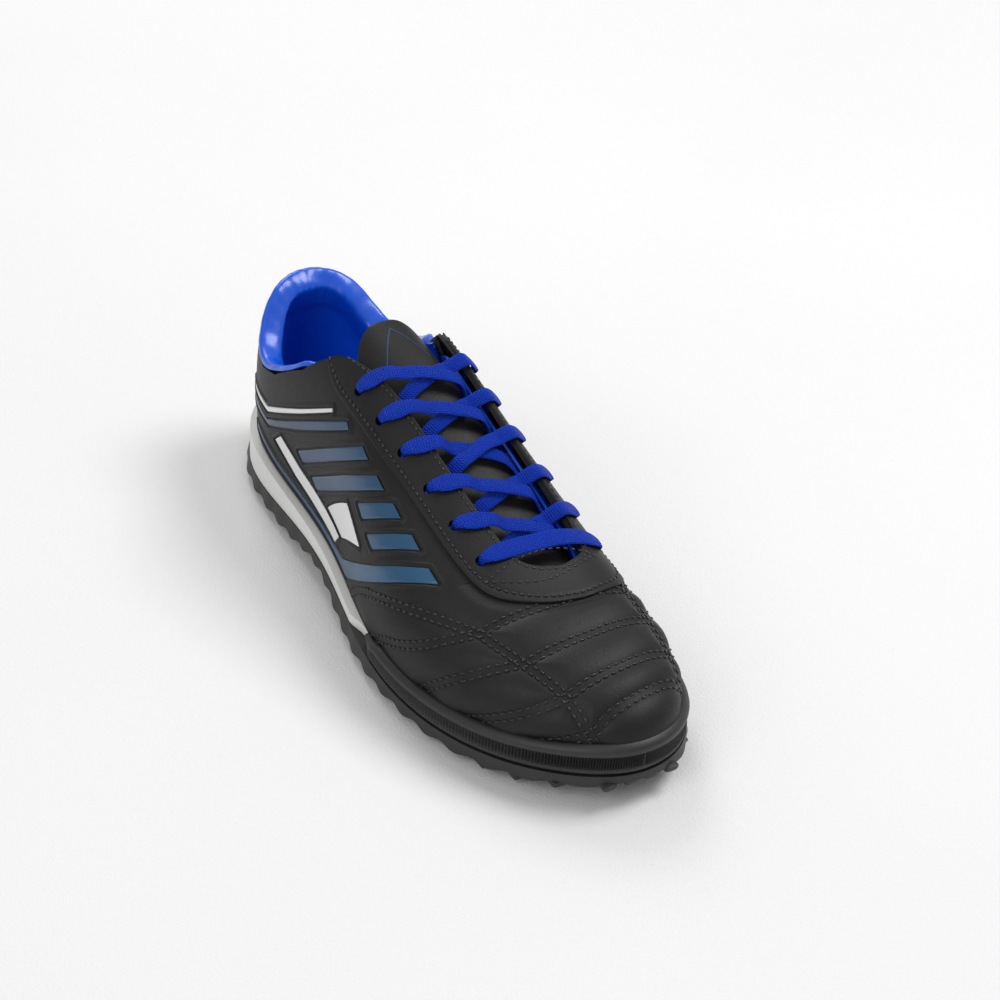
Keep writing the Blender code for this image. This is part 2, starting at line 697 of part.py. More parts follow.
# Trim: printed and welded strips of the outer side, repeated on the inner side
STRIPES = {
    "stripe_1": ([(0.070, -0.912), (0.165, -0.897), (0.267, -0.786), (0.342, -0.676), (0.402, -0.546)],
                 [(0.070, -0.898), (0.158, -0.884), (0.253, -0.772), (0.327, -0.662), (0.390, -0.531)]),
    "stripe_2": ([(0.295, -0.870), (0.394, -0.711), (0.467, -0.511)],
                 [(0.274, -0.853), (0.372, -0.698), (0.444, -0.511)]),
    "stripe_3": ([(0.349, -0.898), (0.459, -0.698), (0.525, -0.491)],
                 [(0.327, -0.880), (0.432, -0.692), (0.498, -0.498)]),
    "stripe_4": ([(0.517, -0.681), (0.579, -0.466)], [(0.490, -0.676), (0.552, -0.471)]),
    "stripe_5": ([(0.568, -0.691), (0.636, -0.451)], [(0.541, -0.691), (0.610, -0.451)]),
    "stripe_6": ([(0.10, -0.976), (0.20, -0.986), (0.35, -0.987), (0.44, -0.987), (0.494, -0.984),
                  (0.606, -0.756), (0.658, -0.586), (0.694, -0.456)],
                 [(0.10, -0.962), (0.20, -0.972), (0.35, -0.974), (0.425, -0.972), (0.470, -0.960),
                  (0.583, -0.735), (0.632, -0.577), (0.666, -0.456)]),
    "white_line": ([(0.070, -0.874), (0.160, -0.856), (0.268, -0.722), (0.350, -0.578)],
                   [(0.070, -0.862), (0.155, -0.843), (0.264, -0.709), (0.346, -0.566)]),
    "white_bar": ([(0.190, -0.914), (0.270, -0.945), (0.360, -0.959), (0.430, -0.962)],
                  [(0.210, -0.880), (0.284, -0.906), (0.365, -0.917), (0.448, -0.918)]),
    "white_badge": ([(0.392, -0.900), (0.458, -0.902)], [(0.458, -0.760), (0.530, -0.785)]),
}


def strip_patch(low, high, side):
    """A strip between two drawn edges. The inner side's are squeezed to fit below the eyestay there."""
    pairs = np.array([[(float(round_of(at)), v) for at, v in line] for line in (low, high)])
    if side > 0:
        for spot in pairs.reshape(-1, 2):
            u = np.clip(spot[0], float(round_of(0.31)), float(round_of(0.72)))
            outer = abs(float(at_side(u, -EYESTAY_HALF * BALL_WIDTH)))
            inner = abs(float(at_side(u, EYESTAY_HALF * BALL_WIDTH)))
            spot[1] = -1 + (1 + spot[1]) * (1 - inner) / (1 - outer)
    steps = np.linalg.norm(np.diff(pairs, axis=1) * (0.33, 0.09), axis=2).mean(axis=0)
    t = np.concatenate([[0], np.cumsum(steps)]) / steps.sum()

    def patch(a, b):
        ends = [np.stack([np.interp(a, t, line[:, 0]), np.interp(a, t, line[:, 1])], -1) for line in pairs]
        return ends[0] + (ends[1] - ends[0]) * b[:, None]

    return patch


def build_trim():
    for name, (low, high) in STRIPES.items():
        color = WHITE if name.startswith("white") else STRIPE_BLUE
        count = {2: 6, 3: 10, 4: 14, 5: 18, 8: 28}[len(low)]
        for side, word in ((-1, "lateral"), (1, "medial")):
            place = layer(strip_patch(low, high, side), OVER_IN, OVER_IN + TRIM, side)
            add(name + "_" + word, sheet(count, 1, place), color, 0.35)


build_trim()


# Lace: one flat braided ribbon through the twelve eyelets, its two ends tucked inside the shoe
LACE_TOP = OVER_OUT + 0.0006 + LACE_THICK / 2
LACE_UNDER = -0.0011 - LACE_THICK / 2
GAP_WIDTH = 0.82 * LACE_WIDTH


def eyelet(row, side):
    return np.array([EYELET_ROWS[row] * LAST_LENGTH, side * EYELET_OUT[row] * BALL_WIDTH])


def dive(hole, heading):
    """Down through an eyelet from outside. Each row: along, across, height, width, thickness, blend."""
    steps = ((-0.0072, LACE_TOP, 1.0, 1.0, 1), (-0.0045, LACE_TOP + 0.0002, 0.90, 1.0, 0.8),
             (-0.0020, LACE_TOP + 0.0004, 0.68, 1.15, 0.3), (-0.0004, LACE_TOP - 0.0006, 0.48, 1.4, 0),
             (0, OVER_OUT * 0.6, 0.42, 1.5, 0), (0, 0.0008, 0.42, 1.5, 0), (0, -0.0004, 0.42, 1.5, 0))
    return [(*(hole + heading * at), high, LACE_WIDTH * wide, LACE_THICK * thick, blend)
            for at, high, wide, thick, blend in steps]


def under(hole, heading):
    steps = ((0.0005, LACE_UNDER + 0.0004, 0.48, 1.4, 0), (0.0022, LACE_UNDER, 0.66, 1.1, 0.4),
             (0.0050, LACE_UNDER, 0.82, 1.0, 1))
    return [(*(hole + heading * at), high, LACE_WIDTH * wide, LACE_THICK * thick, blend)
            for at, high, wide, thick, blend in steps]


def half_lace(side):
    """From the middle of the front bar to the tucked end. Returns rows of the path and their width headings."""
    rows = []
    turns = []

    def put(points, heading):
        for point in points:
            rows.append(point[:5])
            turns.append((point[5], *heading))

    here = eyelet(5, side)
    out = np.array([0.0, side])
    edge_at = FACING_HALF * BALL_WIDTH
    middle = LACE_TOP - 0.0014
    put([(here[0], 0, middle, LACE_WIDTH, LACE_THICK, 1)], out)
    put([(here[0], side * edge_at * 0.75, middle + 0.0008, LACE_WIDTH, LACE_THICK, 1)], out)
    put(dive(here, out), out)
    for row in range(4, -1, -1):
        to = eyelet(row, -side)
        line = to - here
        length = np.linalg.norm(line)
        heading = line / length
        put(under(here, heading), heading)
        leave = np.interp(here[0] / LAST_LENGTH, (0.392, 0.543, 0.688), (0.205, 0.198, 0.180))
        reach = (leave * BALL_WIDTH - 0.0008) / abs(line[1]) * length
        arrive = (0.177 if row == 4 else 0.195) * BALL_WIDTH / abs(line[1]) * length
        on_upper = (side > 0) != (row == 2)
        low, high = (0.0024, 0.0030) if on_upper else (0.0001, 0.0006)
        for at, height in ((-reach, LACE_UNDER), (-reach * 0.62, low), (0, (low + high) / 2),
                           (arrive * 0.60, high), (arrive * 0.87, LACE_TOP), (arrive, LACE_TOP + 0.0003)):
            spot = (here + to) / 2 + heading * at
            put([(spot[0], spot[1], height, GAP_WIDTH, LACE_THICK, 1)], heading)
        put(dive(to, heading), heading)
        here = to
        side = -side
    out = np.array([0.0, side])
    tuck = LACE_UNDER - 0.0006
    put([(here[0], here[1] + side * 0.0005, LACE_UNDER + 0.0004, 0.0038, LACE_THICK * 1.3, 0)], out)
    put([(here[0] + 0.0004, here[1] + side * 0.0030, tuck, 0.0052, LACE_THICK, 1)], out)
    slant = np.array([0.7, 0.7 * side])
    put([(here[0] + 0.0030, here[1] + side * 0.0070, tuck, 0.0060, LACE_THICK, 1)], slant)
    forward = np.array([1.0, 0.0])
    for at in (0.010, 0.018, 0.026, 0.034, 0.042):
        put([(here[0] + at, here[1] + side * 0.0095, tuck, 0.0062, LACE_THICK, 1)], forward)
    return np.array(rows), np.array(turns)


def smooth_path(rows, headings):
    """Samples the path finely, rounds its corners off and keeps the stations the ribbon needs."""
    gaps = np.linalg.norm(np.diff(rows[:, :3], axis=0), axis=1)
    reach = np.concatenate([[0], np.cumsum(gaps)])
    fine = np.arange(0, reach[-1], 0.0002)
    values = np.concatenate([rows, headings], 1)
    dense = np.stack([np.interp(fine, reach, column) for column in values.T], 1)
    kernel = np.hanning(13)[1:-1]
    kernel /= kernel.sum()
    padded = np.concatenate([np.repeat(dense[:1], 5, 0), dense, np.repeat(dense[-1:], 5, 0)])
    dense = np.stack([np.convolve(column, kernel, "valid") for column in padded.T], 1)
    marks = [0.0]
    for start, stop in zip(reach[:-1], reach[1:]):
        count = max(1, int(np.ceil((stop - start) / 0.0060)))
        marks += list(start + (stop - start) * np.arange(1, count + 1) / count)
    return np.stack([np.interp(marks, fine, column) for column in dense.T], 1)


def ribbon_frame(path):
    """World points of the centre line and the two directions across the ribbon."""
    def world(x, across, height):
        u = round_of(x / LAST_LENGTH)
        return skin(u, at_side(u, across), height)

    x, across, height = path[:, 0], path[:, 1], path[:, 2]
    centre = world(x, across, height)
    step = 0.0005
    ahead = world(x + step, across, height) - centre
    beside = world(x, across + step, height) - centre
    ahead /= np.linalg.norm(ahead, axis=1, keepdims=True)
    beside /= np.linalg.norm(beside, axis=1, keepdims=True)
    blend = path[:, 5:6]
    along = np.concatenate([path[:, 6:7], path[:, 7:8]], 1)
    along /= np.linalg.norm(along, axis=1, keepdims=True) + 1e-12
    return centre, ahead, beside, blend, along


def build_lace():
    parts = []
    for side in (-1, 1):
        rows, turns = half_lace(side)
        flip = np.where(turns[:, 2:3] == 0, 0, np.sign(turns[:, 2:3]))
        last = flip[np.nonzero(flip[:, 0])[0][-1]]
        flip = np.where(flip == 0, last, flip)
        width = np.stack([turns[:, 2], -turns[:, 1]], 1) * flip
        width = turns[:, :1] * width + (1 - turns[:, :1]) * np.array([1.0, 0.0])
        parts.append(smooth_path(rows, np.concatenate([turns[:, :1], width], 1)))
    path = np.concatenate([parts[0][:0:-1], parts[1]])
    centre, ahead, beside, blend, wide = ribbon_frame(path)
    tangent = np.gradient(centre, axis=0)
    tangent /= np.linalg.norm(tangent, axis=1, keepdims=True)
    span = ahead * wide[:, :1] + beside * wide[:, 1:]
    span -= tangent * (span * tangent).sum(1, keepdims=True)
    span /= np.linalg.norm(span, axis=1, keepdims=True)
    thick = np.cross(tangent, span)
    half_width = path[:, 3:4] / 2
    half_thick = path[:, 4:5] / 2
    corners = [centre + span * half_width * i + thick * half_thick * j for i, j in ((-1, -1), (1, -1), (1, 1), (-1, 1))]

    def place(a, b, c):
        index = np.round(a * (len(path) - 1)).astype(int)
        corner = np.where(c > 0.5, np.where(b > 0.5, 2, 3), np.where(b > 0.5, 1, 0))
        return np.stack(corners)[corner, index]

    add("lace", sheet(len(path) - 1, 1, place), BLUE, 0.6)
    return np.linalg.norm(np.diff(centre, axis=0), axis=1).sum()


build_lace()
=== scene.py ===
"""The looks of a low turf football shoe, right foot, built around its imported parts. X runs heel to toe."""
import bmesh
import bpy
import json
import numpy as np
from mathutils import Matrix, Vector
from mathutils.kdtree import KDTree

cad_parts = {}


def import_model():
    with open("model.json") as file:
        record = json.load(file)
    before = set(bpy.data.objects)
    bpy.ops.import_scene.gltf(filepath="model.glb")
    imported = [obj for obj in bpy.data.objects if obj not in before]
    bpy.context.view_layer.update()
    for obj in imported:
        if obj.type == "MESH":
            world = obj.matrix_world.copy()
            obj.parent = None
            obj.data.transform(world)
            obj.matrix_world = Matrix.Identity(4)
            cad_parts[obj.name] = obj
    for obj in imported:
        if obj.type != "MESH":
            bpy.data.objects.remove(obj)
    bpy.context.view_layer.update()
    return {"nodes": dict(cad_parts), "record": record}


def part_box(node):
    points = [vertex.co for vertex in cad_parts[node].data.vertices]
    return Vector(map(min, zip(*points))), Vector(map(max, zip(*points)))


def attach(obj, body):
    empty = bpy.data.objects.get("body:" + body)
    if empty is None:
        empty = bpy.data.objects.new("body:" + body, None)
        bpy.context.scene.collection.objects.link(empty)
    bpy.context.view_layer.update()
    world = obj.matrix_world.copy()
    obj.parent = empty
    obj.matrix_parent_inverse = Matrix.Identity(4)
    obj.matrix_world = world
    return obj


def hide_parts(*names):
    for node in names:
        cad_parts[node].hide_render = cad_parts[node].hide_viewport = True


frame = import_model()

# Camera: above and beside the toe, a little rolled, looking back along the shoe through a long lens, so
# that the shoe's own proportions show.
lens = bpy.data.cameras.new("camera")
lens.sensor_width = 36
lens.lens = 89.68
lens.clip_start = 0.05
camera = bpy.data.objects.new("camera", lens)
right, up, back = (0.4830, 0.8728, 0.0699), (-0.5251, 0.2249, 0.8208), (0.7007, -0.4332, 0.5670)
turn = Matrix((right, up, back)).transposed().to_4x4()
camera.matrix_world = Matrix.Translation((0.7289, -0.4250, 0.6331)) @ turn
bpy.context.scene.collection.objects.link(camera)
bpy.context.scene.camera = camera


class Wire:
    """A shader socket that takes part in arithmetic, and that other nodes can be hung on."""

    def __init__(self, tree, socket=None):
        self.tree = tree
        self.socket = socket

    def node(self, kind, settings, sockets, out=0):
        made = self.tree.nodes.new(kind)
        for name, value in settings.items():
            if name == "stops":
                for index, (at, color) in enumerate(value):
                    stop = made.color_ramp.elements[index] if index < 2 else made.color_ramp.elements.new(at)
                    stop.position = at
                    stop.color = color
            else:
                setattr(made, name, value)
        for name, value in sockets.items():
            if isinstance(value, Wire):
                self.tree.links.new(value.socket, made.inputs[name])
            else:
                made.inputs[name].default_value = value
        return Wire(self.tree, made.outputs[out])

    def maths(self, operation, first, second=0.0):
        return self.node("ShaderNodeMath", {"operation": operation}, {0: first, 1: second})

    def __add__(self, other):
        return self.maths("ADD", self, other)

    __radd__ = __add__

    def __mul__(self, other):
        return self.maths("MULTIPLY", self, other)

    __rmul__ = __mul__

    def __sub__(self, other):
        return self.maths("SUBTRACT", self, other)

    def __rsub__(self, other):
        return self.maths("SUBTRACT", other, self)


def noise(spot, scale, detail=2.0):
    return spot.node("ShaderNodeTexNoise", {}, {"Vector": spot, "Scale": scale, "Detail": detail})


def cells(spot, scale, feature="F1"):
    return spot.node("ShaderNodeTexVoronoi", {"feature": feature}, {"Vector": spot, "Scale": scale})


def between(wire, low, high):
    """A colour that goes from low to high as the wire goes from 0 to 1."""
    stops = [(0, (*low, 1)), (1, (*high, 1))]
    return wire.node("ShaderNodeValToRGB", {"stops": stops}, {"Fac": wire})


def finish_of(name, pattern, **sockets):
    """A material: pattern(spot) gives its colour, its roughness and its bump height in metres."""
    made = bpy.data.materials.new(name)
    made.use_nodes = True
    shader = made.node_tree.nodes["Principled BSDF"]
    start = Wire(made.node_tree)
    spot = start.node("ShaderNodeTexCoord", {}, {}, "UV" if sockets.pop("follows", False) else "Object")
    color, roughness, height = pattern(spot)
    for socket, wire in (("Base Color", color), ("Roughness", roughness)):
        made.node_tree.links.new(wire.socket, shader.inputs[socket])
    bump = start.node("ShaderNodeBump", {}, {"Strength": 1.0, "Distance": 1.0, "Height": height})
    made.node_tree.links.new(bump.socket, shader.inputs["Normal"])
    for socket, value in sockets.items():
        shader.inputs[socket.replace("_", " ")].default_value = value
    return made


# Studio: a plain pale floor that runs out of sight, a big soft light over each side and one behind, and a
# white room round them.
bm = bmesh.new()
bmesh.ops.create_grid(bm, x_segments=8, y_segments=8, size=4.0)
mesh = bpy.data.meshes.new("floor")
bm.to_mesh(mesh)
bm.free()
floor = bpy.data.objects.new("floor", mesh)
bpy.context.scene.collection.objects.link(floor)


def pale_floor(spot):
    grain = noise(spot, 900.0, 3.0)
    color = between(noise(spot, 3.0), (0.80, 0.80, 0.80), (0.86, 0.86, 0.86))
    return color, grain * 0.1 + 0.65, grain * 0.0003


mesh.materials.append(finish_of("pale_floor", pale_floor))


def soft_light(name, spot, aim, size, power):
    light = bpy.data.lights.new(name, "AREA")
    light.shape = "DISK"
    light.size = size
    light.energy = power
    lamp = bpy.data.objects.new(name, light)
    turn = (Vector(aim) - Vector(spot)).to_track_quat("-Z", "Y").to_matrix().to_4x4()
    lamp.matrix_world = Matrix.Translation(spot) @ turn
    bpy.context.scene.collection.objects.link(lamp)


soft_light("key", (0.2, 1.0, 1.6), (0, 0, 0), 0.9, 18)
soft_light("fill", (0.6, -1.3, 1.2), (0, 0, 0), 1.2, 9)
soft_light("rear", (-1.4, 0.2, 1.3), (0, 0, 0), 0.9, 10)
room = bpy.data.worlds.new("room")
room.use_nodes = True
room.node_tree.nodes["Background"].inputs["Color"].default_value = (1.0, 1.0, 1.0, 1)
room.node_tree.nodes["Background"].inputs["Strength"].default_value = 0.42
bpy.context.scene.world = room
bpy.context.scene.view_settings.view_transform = "Standard"


# Foot form: the smooth solid shape that every panel is pulled over and lasted on, from which each piece's
# place is worked out. A spot on it is u, from heel to toe, and v, from -1 on the outer feather edge over 0
# on the ridge to 1. Sizes here and below are in metres.
LAST_LENGTH = 0.276
BALL_WIDTH = 0.087
UPPER_HEIGHT = 0.116
SOLE_STACK = 0.024
SOLE_RIM = 0.0090
LAYER_GAP = 0.0005
FIT = 0.0004


def curve(points):
    """A natural cubic spline through the points, as a function of arrays."""
    x, y = np.array(points, float).T
    n = len(x)
    h = np.diff(x)
    a = np.eye(n)
    b = np.zeros(n)
    for i in range(1, n - 1):
        a[i, i - 1:i + 2] = h[i - 1], 2 * (h[i - 1] + h[i]), h[i]
        b[i] = 6 * ((y[i + 1] - y[i]) / h[i] - (y[i] - y[i - 1]) / h[i - 1])
    m = np.linalg.solve(a, b)
    t = np.linspace(x[0], x[-1], 801)
    i = np.clip(np.searchsorted(x, t) - 1, 0, n - 2)
    left = x[i + 1] - t
    right = t - x[i]
    value = (m[i] * left**3 + m[i + 1] * right**3) / (6 * h[i])
    value += (y[i] / h[i] - m[i] * h[i] / 6) * left
    value += (y[i + 1] / h[i] - m[i + 1] * h[i] / 6) * right
    return lambda at: np.interp(at, t, value)


def ramp(low, high, at):
    t = np.clip((at - low) / (high - low), 0, 1)
    return t * t * (3 - 2 * t)


def round_of(part):
    """Turns a fraction of the length, 0 heel to 1 toe, into the station u that crowds the two round ends."""
    return np.arccos(np.clip(1 - 2 * np.asarray(part, float), -1, 1)) / np.pi


def part_of(u):
    return (1 - np.cos(np.pi * u)) / 2


def widths(points):
    return curve([(round_of(at), value) for at, value in points])


# Half widths against the ball width, heights against the upper height or the sole stack
LATERAL = widths([(0, 0), (0.03, 0.195), (0.10, 0.316), (0.20, 0.356), (0.42, 0.397), (0.62, 0.514),
                  (0.72, 0.525), (0.80, 0.491), (0.90, 0.377), (0.96, 0.240), (1, 0)])
MEDIAL = widths([(0, 0), (0.03, 0.195), (0.10, 0.310), (0.20, 0.345), (0.42, 0.376), (0.62, 0.446),
                 (0.72, 0.463), (0.80, 0.463), (0.90, 0.385), (0.96, 0.260), (1, 0)])
MIDLINE = curve([(0, 0), (0.4, 0), (0.7, 0.036), (1, 0.121)])
RIDGE_SIDE = curve([(0, 0), (0.3, 0), (0.45, 0.035), (0.6, 0.075), (0.7, 0.098), (0.85, 0.115), (1, 0.115)])
FEATHER = curve([(0, 1.0), (0.2, 0.917), (0.45, 0.792), (0.65, 0.625), (0.8, 0.667), (0.9, 0.792),
                 (1, 1.042)])
RIDGE = curve([(0, 1.0), (0.2, 0.957), (0.3, 0.910), (0.4, 0.841), (0.5, 0.728), (0.6, 0.616), (0.7, 0.510),
               (0.8, 0.433), (0.9, 0.380)])
SQUARE = curve([(0, 2.3), (0.2, 2.3), (0.4, 2.5), (0.6, 2.5), (0.8, 2.5), (1, 2.5)])
BELLY = curve([(0, 0.10), (0.2, 0.08), (0.4, 0.02), (0.6, 0.03), (0.8, 0.05), (1, 0.03)])
RIDGE_HEEL = 0.16
RIDGE_TOE = 0.90


def soft_low(a, b):
    return -0.03 * np.logaddexp(-a / 0.03, -b / 0.03)


def ridge_at(part):
    return -soft_low(-soft_low(part, RIDGE_TOE), -RIDGE_HEEL)


def feather_height(part):
    return SOLE_STACK * FEATHER(part)


def ridge_height(part):
    slope = (RIDGE(RIDGE_TOE) - RIDGE(RIDGE_TOE - 0.01)) / 0.01
    far = RIDGE(RIDGE_TOE) + slope * (part - RIDGE_TOE)
    return UPPER_HEIGHT * np.where(part > RIDGE_TOE, far, RIDGE(part))


def section(part, angle):
    """How far in and how far up a point of one cross-section lies, from the feather edge to the ridge."""
    power = 2 / SQUARE(part)
    c = np.clip(np.cos(angle), 0, 1)
    s = np.clip(np.sin(angle), 0, 1)
    return 1 - c**power - BELLY(part) * np.sin(2 * angle) * c * c * 1.3, s**power


def inside(u, v):
    """The inside surface: v is -1 on the outer feather edge, 0 on the ridge and 1 on the inner edge."""
    u, v = np.broadcast_arrays(np.asarray(u, float), np.asarray(v, float))
    part = part_of(u)
    side = np.where(v < 0, -1.0, 1.0)
    wide = BALL_WIDTH * np.where(v < 0, LATERAL(u), MEDIAL(u))
    edge = BALL_WIDTH * MIDLINE(part) + side * wide
    low = feather_height(part)
    over = ridge_at(part)
    inward, upward = section(part, (1 - np.abs(v)) * np.pi / 2)
    at = part + (over - part) * inward
    y = edge + (BALL_WIDTH * RIDGE_SIDE(over) - edge) * inward
    z = low + (ridge_height(at) - low) * upward
    return np.stack([LAST_LENGTH * at, y, z], -1)


def facing(u, v):
    step = 1e-3
    u = np.clip(u, 4e-3, 1 - 4e-3)
    least = 0.012 + 0.09 * ramp(0.78, 0.95, u)
    v = np.where(v < 0, -1, 1) * np.clip(np.abs(v), least, 1 - step)
    along = inside(u + step, v) - inside(u - step, v)
    across = inside(u, v + step) - inside(u, v - step)
    normal = np.cross(along, across)
    return normal / np.linalg.norm(normal, axis=-1, keepdims=True)


def skin(u, v, off=0.0):
    """The inside surface moved outwards by off. The two sides share one normal on the seams they meet at."""
    u, v, off = np.broadcast_arrays(np.asarray(u, float), np.asarray(v, float), np.asarray(off, float))
    normal = facing(u, v)
    tiny = 1e-7
    seam = (np.abs(v) < tiny) | (u < tiny) | (u > 1 - tiny)
    small = np.where(np.abs(v) < tiny, 1e-9, v)
    both = facing(u, small) + facing(u, -small)
    both /= np.linalg.norm(both, axis=-1, keepdims=True)
    normal = np.where(seam[..., None], both, normal)
    return inside(u, v) + off[..., None] * normal


def at_height(u, z):
    """The size of v where the inside surface is z high."""
    part = part_of(u)
    low = feather_height(part)
    at = part
    for _ in range(6):
        up = np.clip((z - low) / (ridge_height(at) - low), 0, 1)
        angle = np.arcsin(up**(SQUARE(part) / 2))
        at = part + (ridge_at(part) - part) * section(part, angle)[0]
    return 1 - 2 / np.pi * angle


THROAT_SHIFT = curve([(0, 0), (0.38, 0.005), (0.5, 0.021), (0.65, 0.046), (0.8, 0.046), (1, 0.046)])
ARC_V = np.linspace(-1, 1, 241)
ARCS = inside(np.linspace(0, 1, 161)[:, None], ARC_V[None, :])
ARCS = np.linalg.norm(np.diff(ARCS, axis=1, prepend=ARCS[:, :1]), axis=-1).cumsum(axis=1)
ARCS = ARCS - ARCS[:, 120:121]


def at_side(u, across):
    """v where the surface is a given distance round from the middle of the throat."""
    u, across = np.broadcast_arrays(np.asarray(u, float), np.asarray(across, float))
    shape = u.shape
    u, across = u.ravel(), across.ravel() + BALL_WIDTH * THROAT_SHIFT(part_of(u.ravel()))
    row = np.clip(u, 0, 1) * (len(ARCS) - 1)
    low = np.clip(row.astype(int), 0, len(ARCS) - 2)
    arc = ARCS[low] + (ARCS[low + 1] - ARCS[low]) * (row - low)[:, None]
    index = np.clip((arc < across[:, None]).sum(1), 1, 240)
    rows = np.arange(len(u))
    share = (across - arc[rows, index - 1]) / (arc[rows, index] - arc[rows, index - 1])
    return (ARC_V[index - 1] + np.clip(share, 0, 1) * (ARC_V[index] - ARC_V[index - 1])).reshape(shape)


def floor_plan(u, w, off, z):
    """A point inside the level outline: w runs from -1 on the outer side to 1 on the inner side."""
    outer = skin(u, -1.0 + 0 * u, off)
    inner = skin(u, 1.0 + 0 * u, off)
    spot = outer + (inner - outer) * ((w + 1) / 2)[:, None]
    spot[:, 2] = z
    return spot


OUTLINE = np.concatenate([skin(np.linspace(0, 1, 201), side, SOLE_RIM) for side in (-1.0, 1.0)])
LOW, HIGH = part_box("outsole")
SHIFT_Y = (LOW.y + HIGH.y - OUTLINE[:, 1].min() - OUTLINE[:, 1].max()) / 2
SHIFT = np.array([LOW.x - OUTLINE[:, 0].min(), SHIFT_Y, 0])


def outwards(bm):
    bmesh.ops.recalc_face_normals(bm, faces=list(bm.faces))
    if bm.calc_volume(signed=True) < 0:
        bmesh.ops.reverse_faces(bm, faces=list(bm.faces))
    return bm


def sheet(along, across, place, glued=False, stations=None):
    """A closed sheet: a flat grid given a thickness, then bent into shape by place(a, b, c)."""
    bm = bmesh.new()
    bmesh.ops.create_grid(bm, x_segments=along, y_segments=across, size=0.5)
    made = bmesh.ops.extrude_face_region(bm, geom=list(bm.faces))
    outer = [item for item in made["geom"] if isinstance(item, bmesh.types.BMVert)]
    bmesh.ops.translate(bm, verts=outer, vec=(0, 0, 1))
    spots = np.array([vert.co for vert in bm.verts])
    a = np.round((spots[:, 0] + 0.5) * along) / along
    b = np.round((spots[:, 1] + 0.5) * across) / across
    if stations is not None:
        a = np.interp(a, np.linspace(0, 1, along + 1), stations[0])
        b = np.interp(b, np.linspace(0, 1, across + 1), stations[1])
    if glued:
        far = [face for face in bm.faces if all(vert.co.x > 0.49999 for vert in face.verts)]
        bmesh.ops.delete(bm, geom=far, context="FACES_ONLY")
    for vert, point in zip(bm.verts, place(a, b, spots[:, 2])):
        vert.co = point
    if glued:
        bmesh.ops.remove_doubles(bm, verts=list(bm.verts), dist=1e-5)
    return outwards(bm)


def show(name, bm, finish, nodes, body="shoe", sharp=0.7):
    """Makes the mesh a shaded piece in the shoe's place, riding on its body in place of the named parts."""
    bmesh.ops.translate(bm, verts=list(bm.verts), vec=SHIFT)
    for line in bm.edges:
        line.smooth = line.calc_face_angle(0) < sharp
    for face in bm.faces:
        face.smooth = True
    made = bpy.data.meshes.new(name)
    bm.to_mesh(made)
    bm.free()
    made.materials.append(finish)
    piece = bpy.data.objects.new(name, made)
    bpy.context.scene.collection.objects.link(piece)
    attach(piece, body)
    if nodes:
        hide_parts(*nodes)
    return piece


def rounded(at, length, radius):
    """How far a surface drops near the two ends of a width, as a rounded edge: at runs from 0 to 1."""
    near = np.clip(1 - np.minimum(at, 1 - at) * length / radius, 0, 1)
    return radius * (1 - np.sqrt(1 - near * near))


# Outsole: one black rubber plate with a finely scalloped rim, moulded in one with its rows of small turf
# studs. It lifts off the ground at the waist and the toe, and is glued under the midsole.
STUD_HEIGHT = 0.0050
STUD_LENGTH = 0.0080
STUD_PITCH = 0.0135
STUD_TAPER = 0.80
STUD_ROUNDING = 0.0012
STUD_COLUMNS = ((0.02, 0.2), (0.29, 0.46), (0.54, 0.71), (0.8, 0.98))
RUBBER = 0.0026
WAIST_LIFT = 0.0060
TOE_SPRING = 0.0080
SCALLOP = 0.0007
GROUND = curve([(0, 0.30), (0.04, 0.05), (0.08, 0), (0.22, 0), (0.30, 0.3), (0.40, 1), (0.50, 0.35),
                (0.57, 0), (0.80, 0), (0.86, 0.09), (0.93, 0.45), (1, 1.0)])
PLATE_TOP = curve([(0, 0.40), (0.12, 0.39), (0.3, 0.53), (0.42, 0.55), (0.5, 0.53), (0.6, 0.46), (0.7, 0.37),
                   (0.82, 0.38), (0.92, 0.50), (1, 0.66)])

def ground_height(part):
    lift = np.where(part < 0.52, WAIST_LIFT, TOE_SPRING)
    height = lift * np.clip(GROUND(part), 0, 2)
    return np.where(height < 2e-4, 0, height)


def plate_top(part):
    return SOLE_STACK * PLATE_TOP(part)


def plate_bottom(part):
    return np.minimum(plate_top(part) - RUBBER, ground_height(part) + STUD_HEIGHT)


def black_rubber(spot):
    mottle = noise(spot, 60.0, 4.0)
    fine = noise(spot, 1500.0, 2.0)
    color = between(mottle, (0.010, 0.010, 0.011), (0.026, 0.026, 0.027))
    return color, mottle * 0.15 + 0.42, fine * 0.00004 + mottle * 0.00006


RUBBER_FINISH = finish_of("black_rubber", black_rubber)


def place_plate(a, b, c):
    part = part_of(a)
    w = 2 * b - 1
    rim = np.abs(w)**24
    middle_x = LAST_LENGTH * part
    wave = 0.5 + 0.5 * np.cos(2 * np.pi * middle_x / STUD_PITCH)
    low = plate_bottom(part) - 0.0012 * wave * rim
    z = np.where(c > 0.5, plate_top(part), low)
    off = SOLE_RIM + SCALLOP * wave * (c < 0.5) - 0.0004 * (c > 0.5)
    return floor_plan(a, w, off, z)


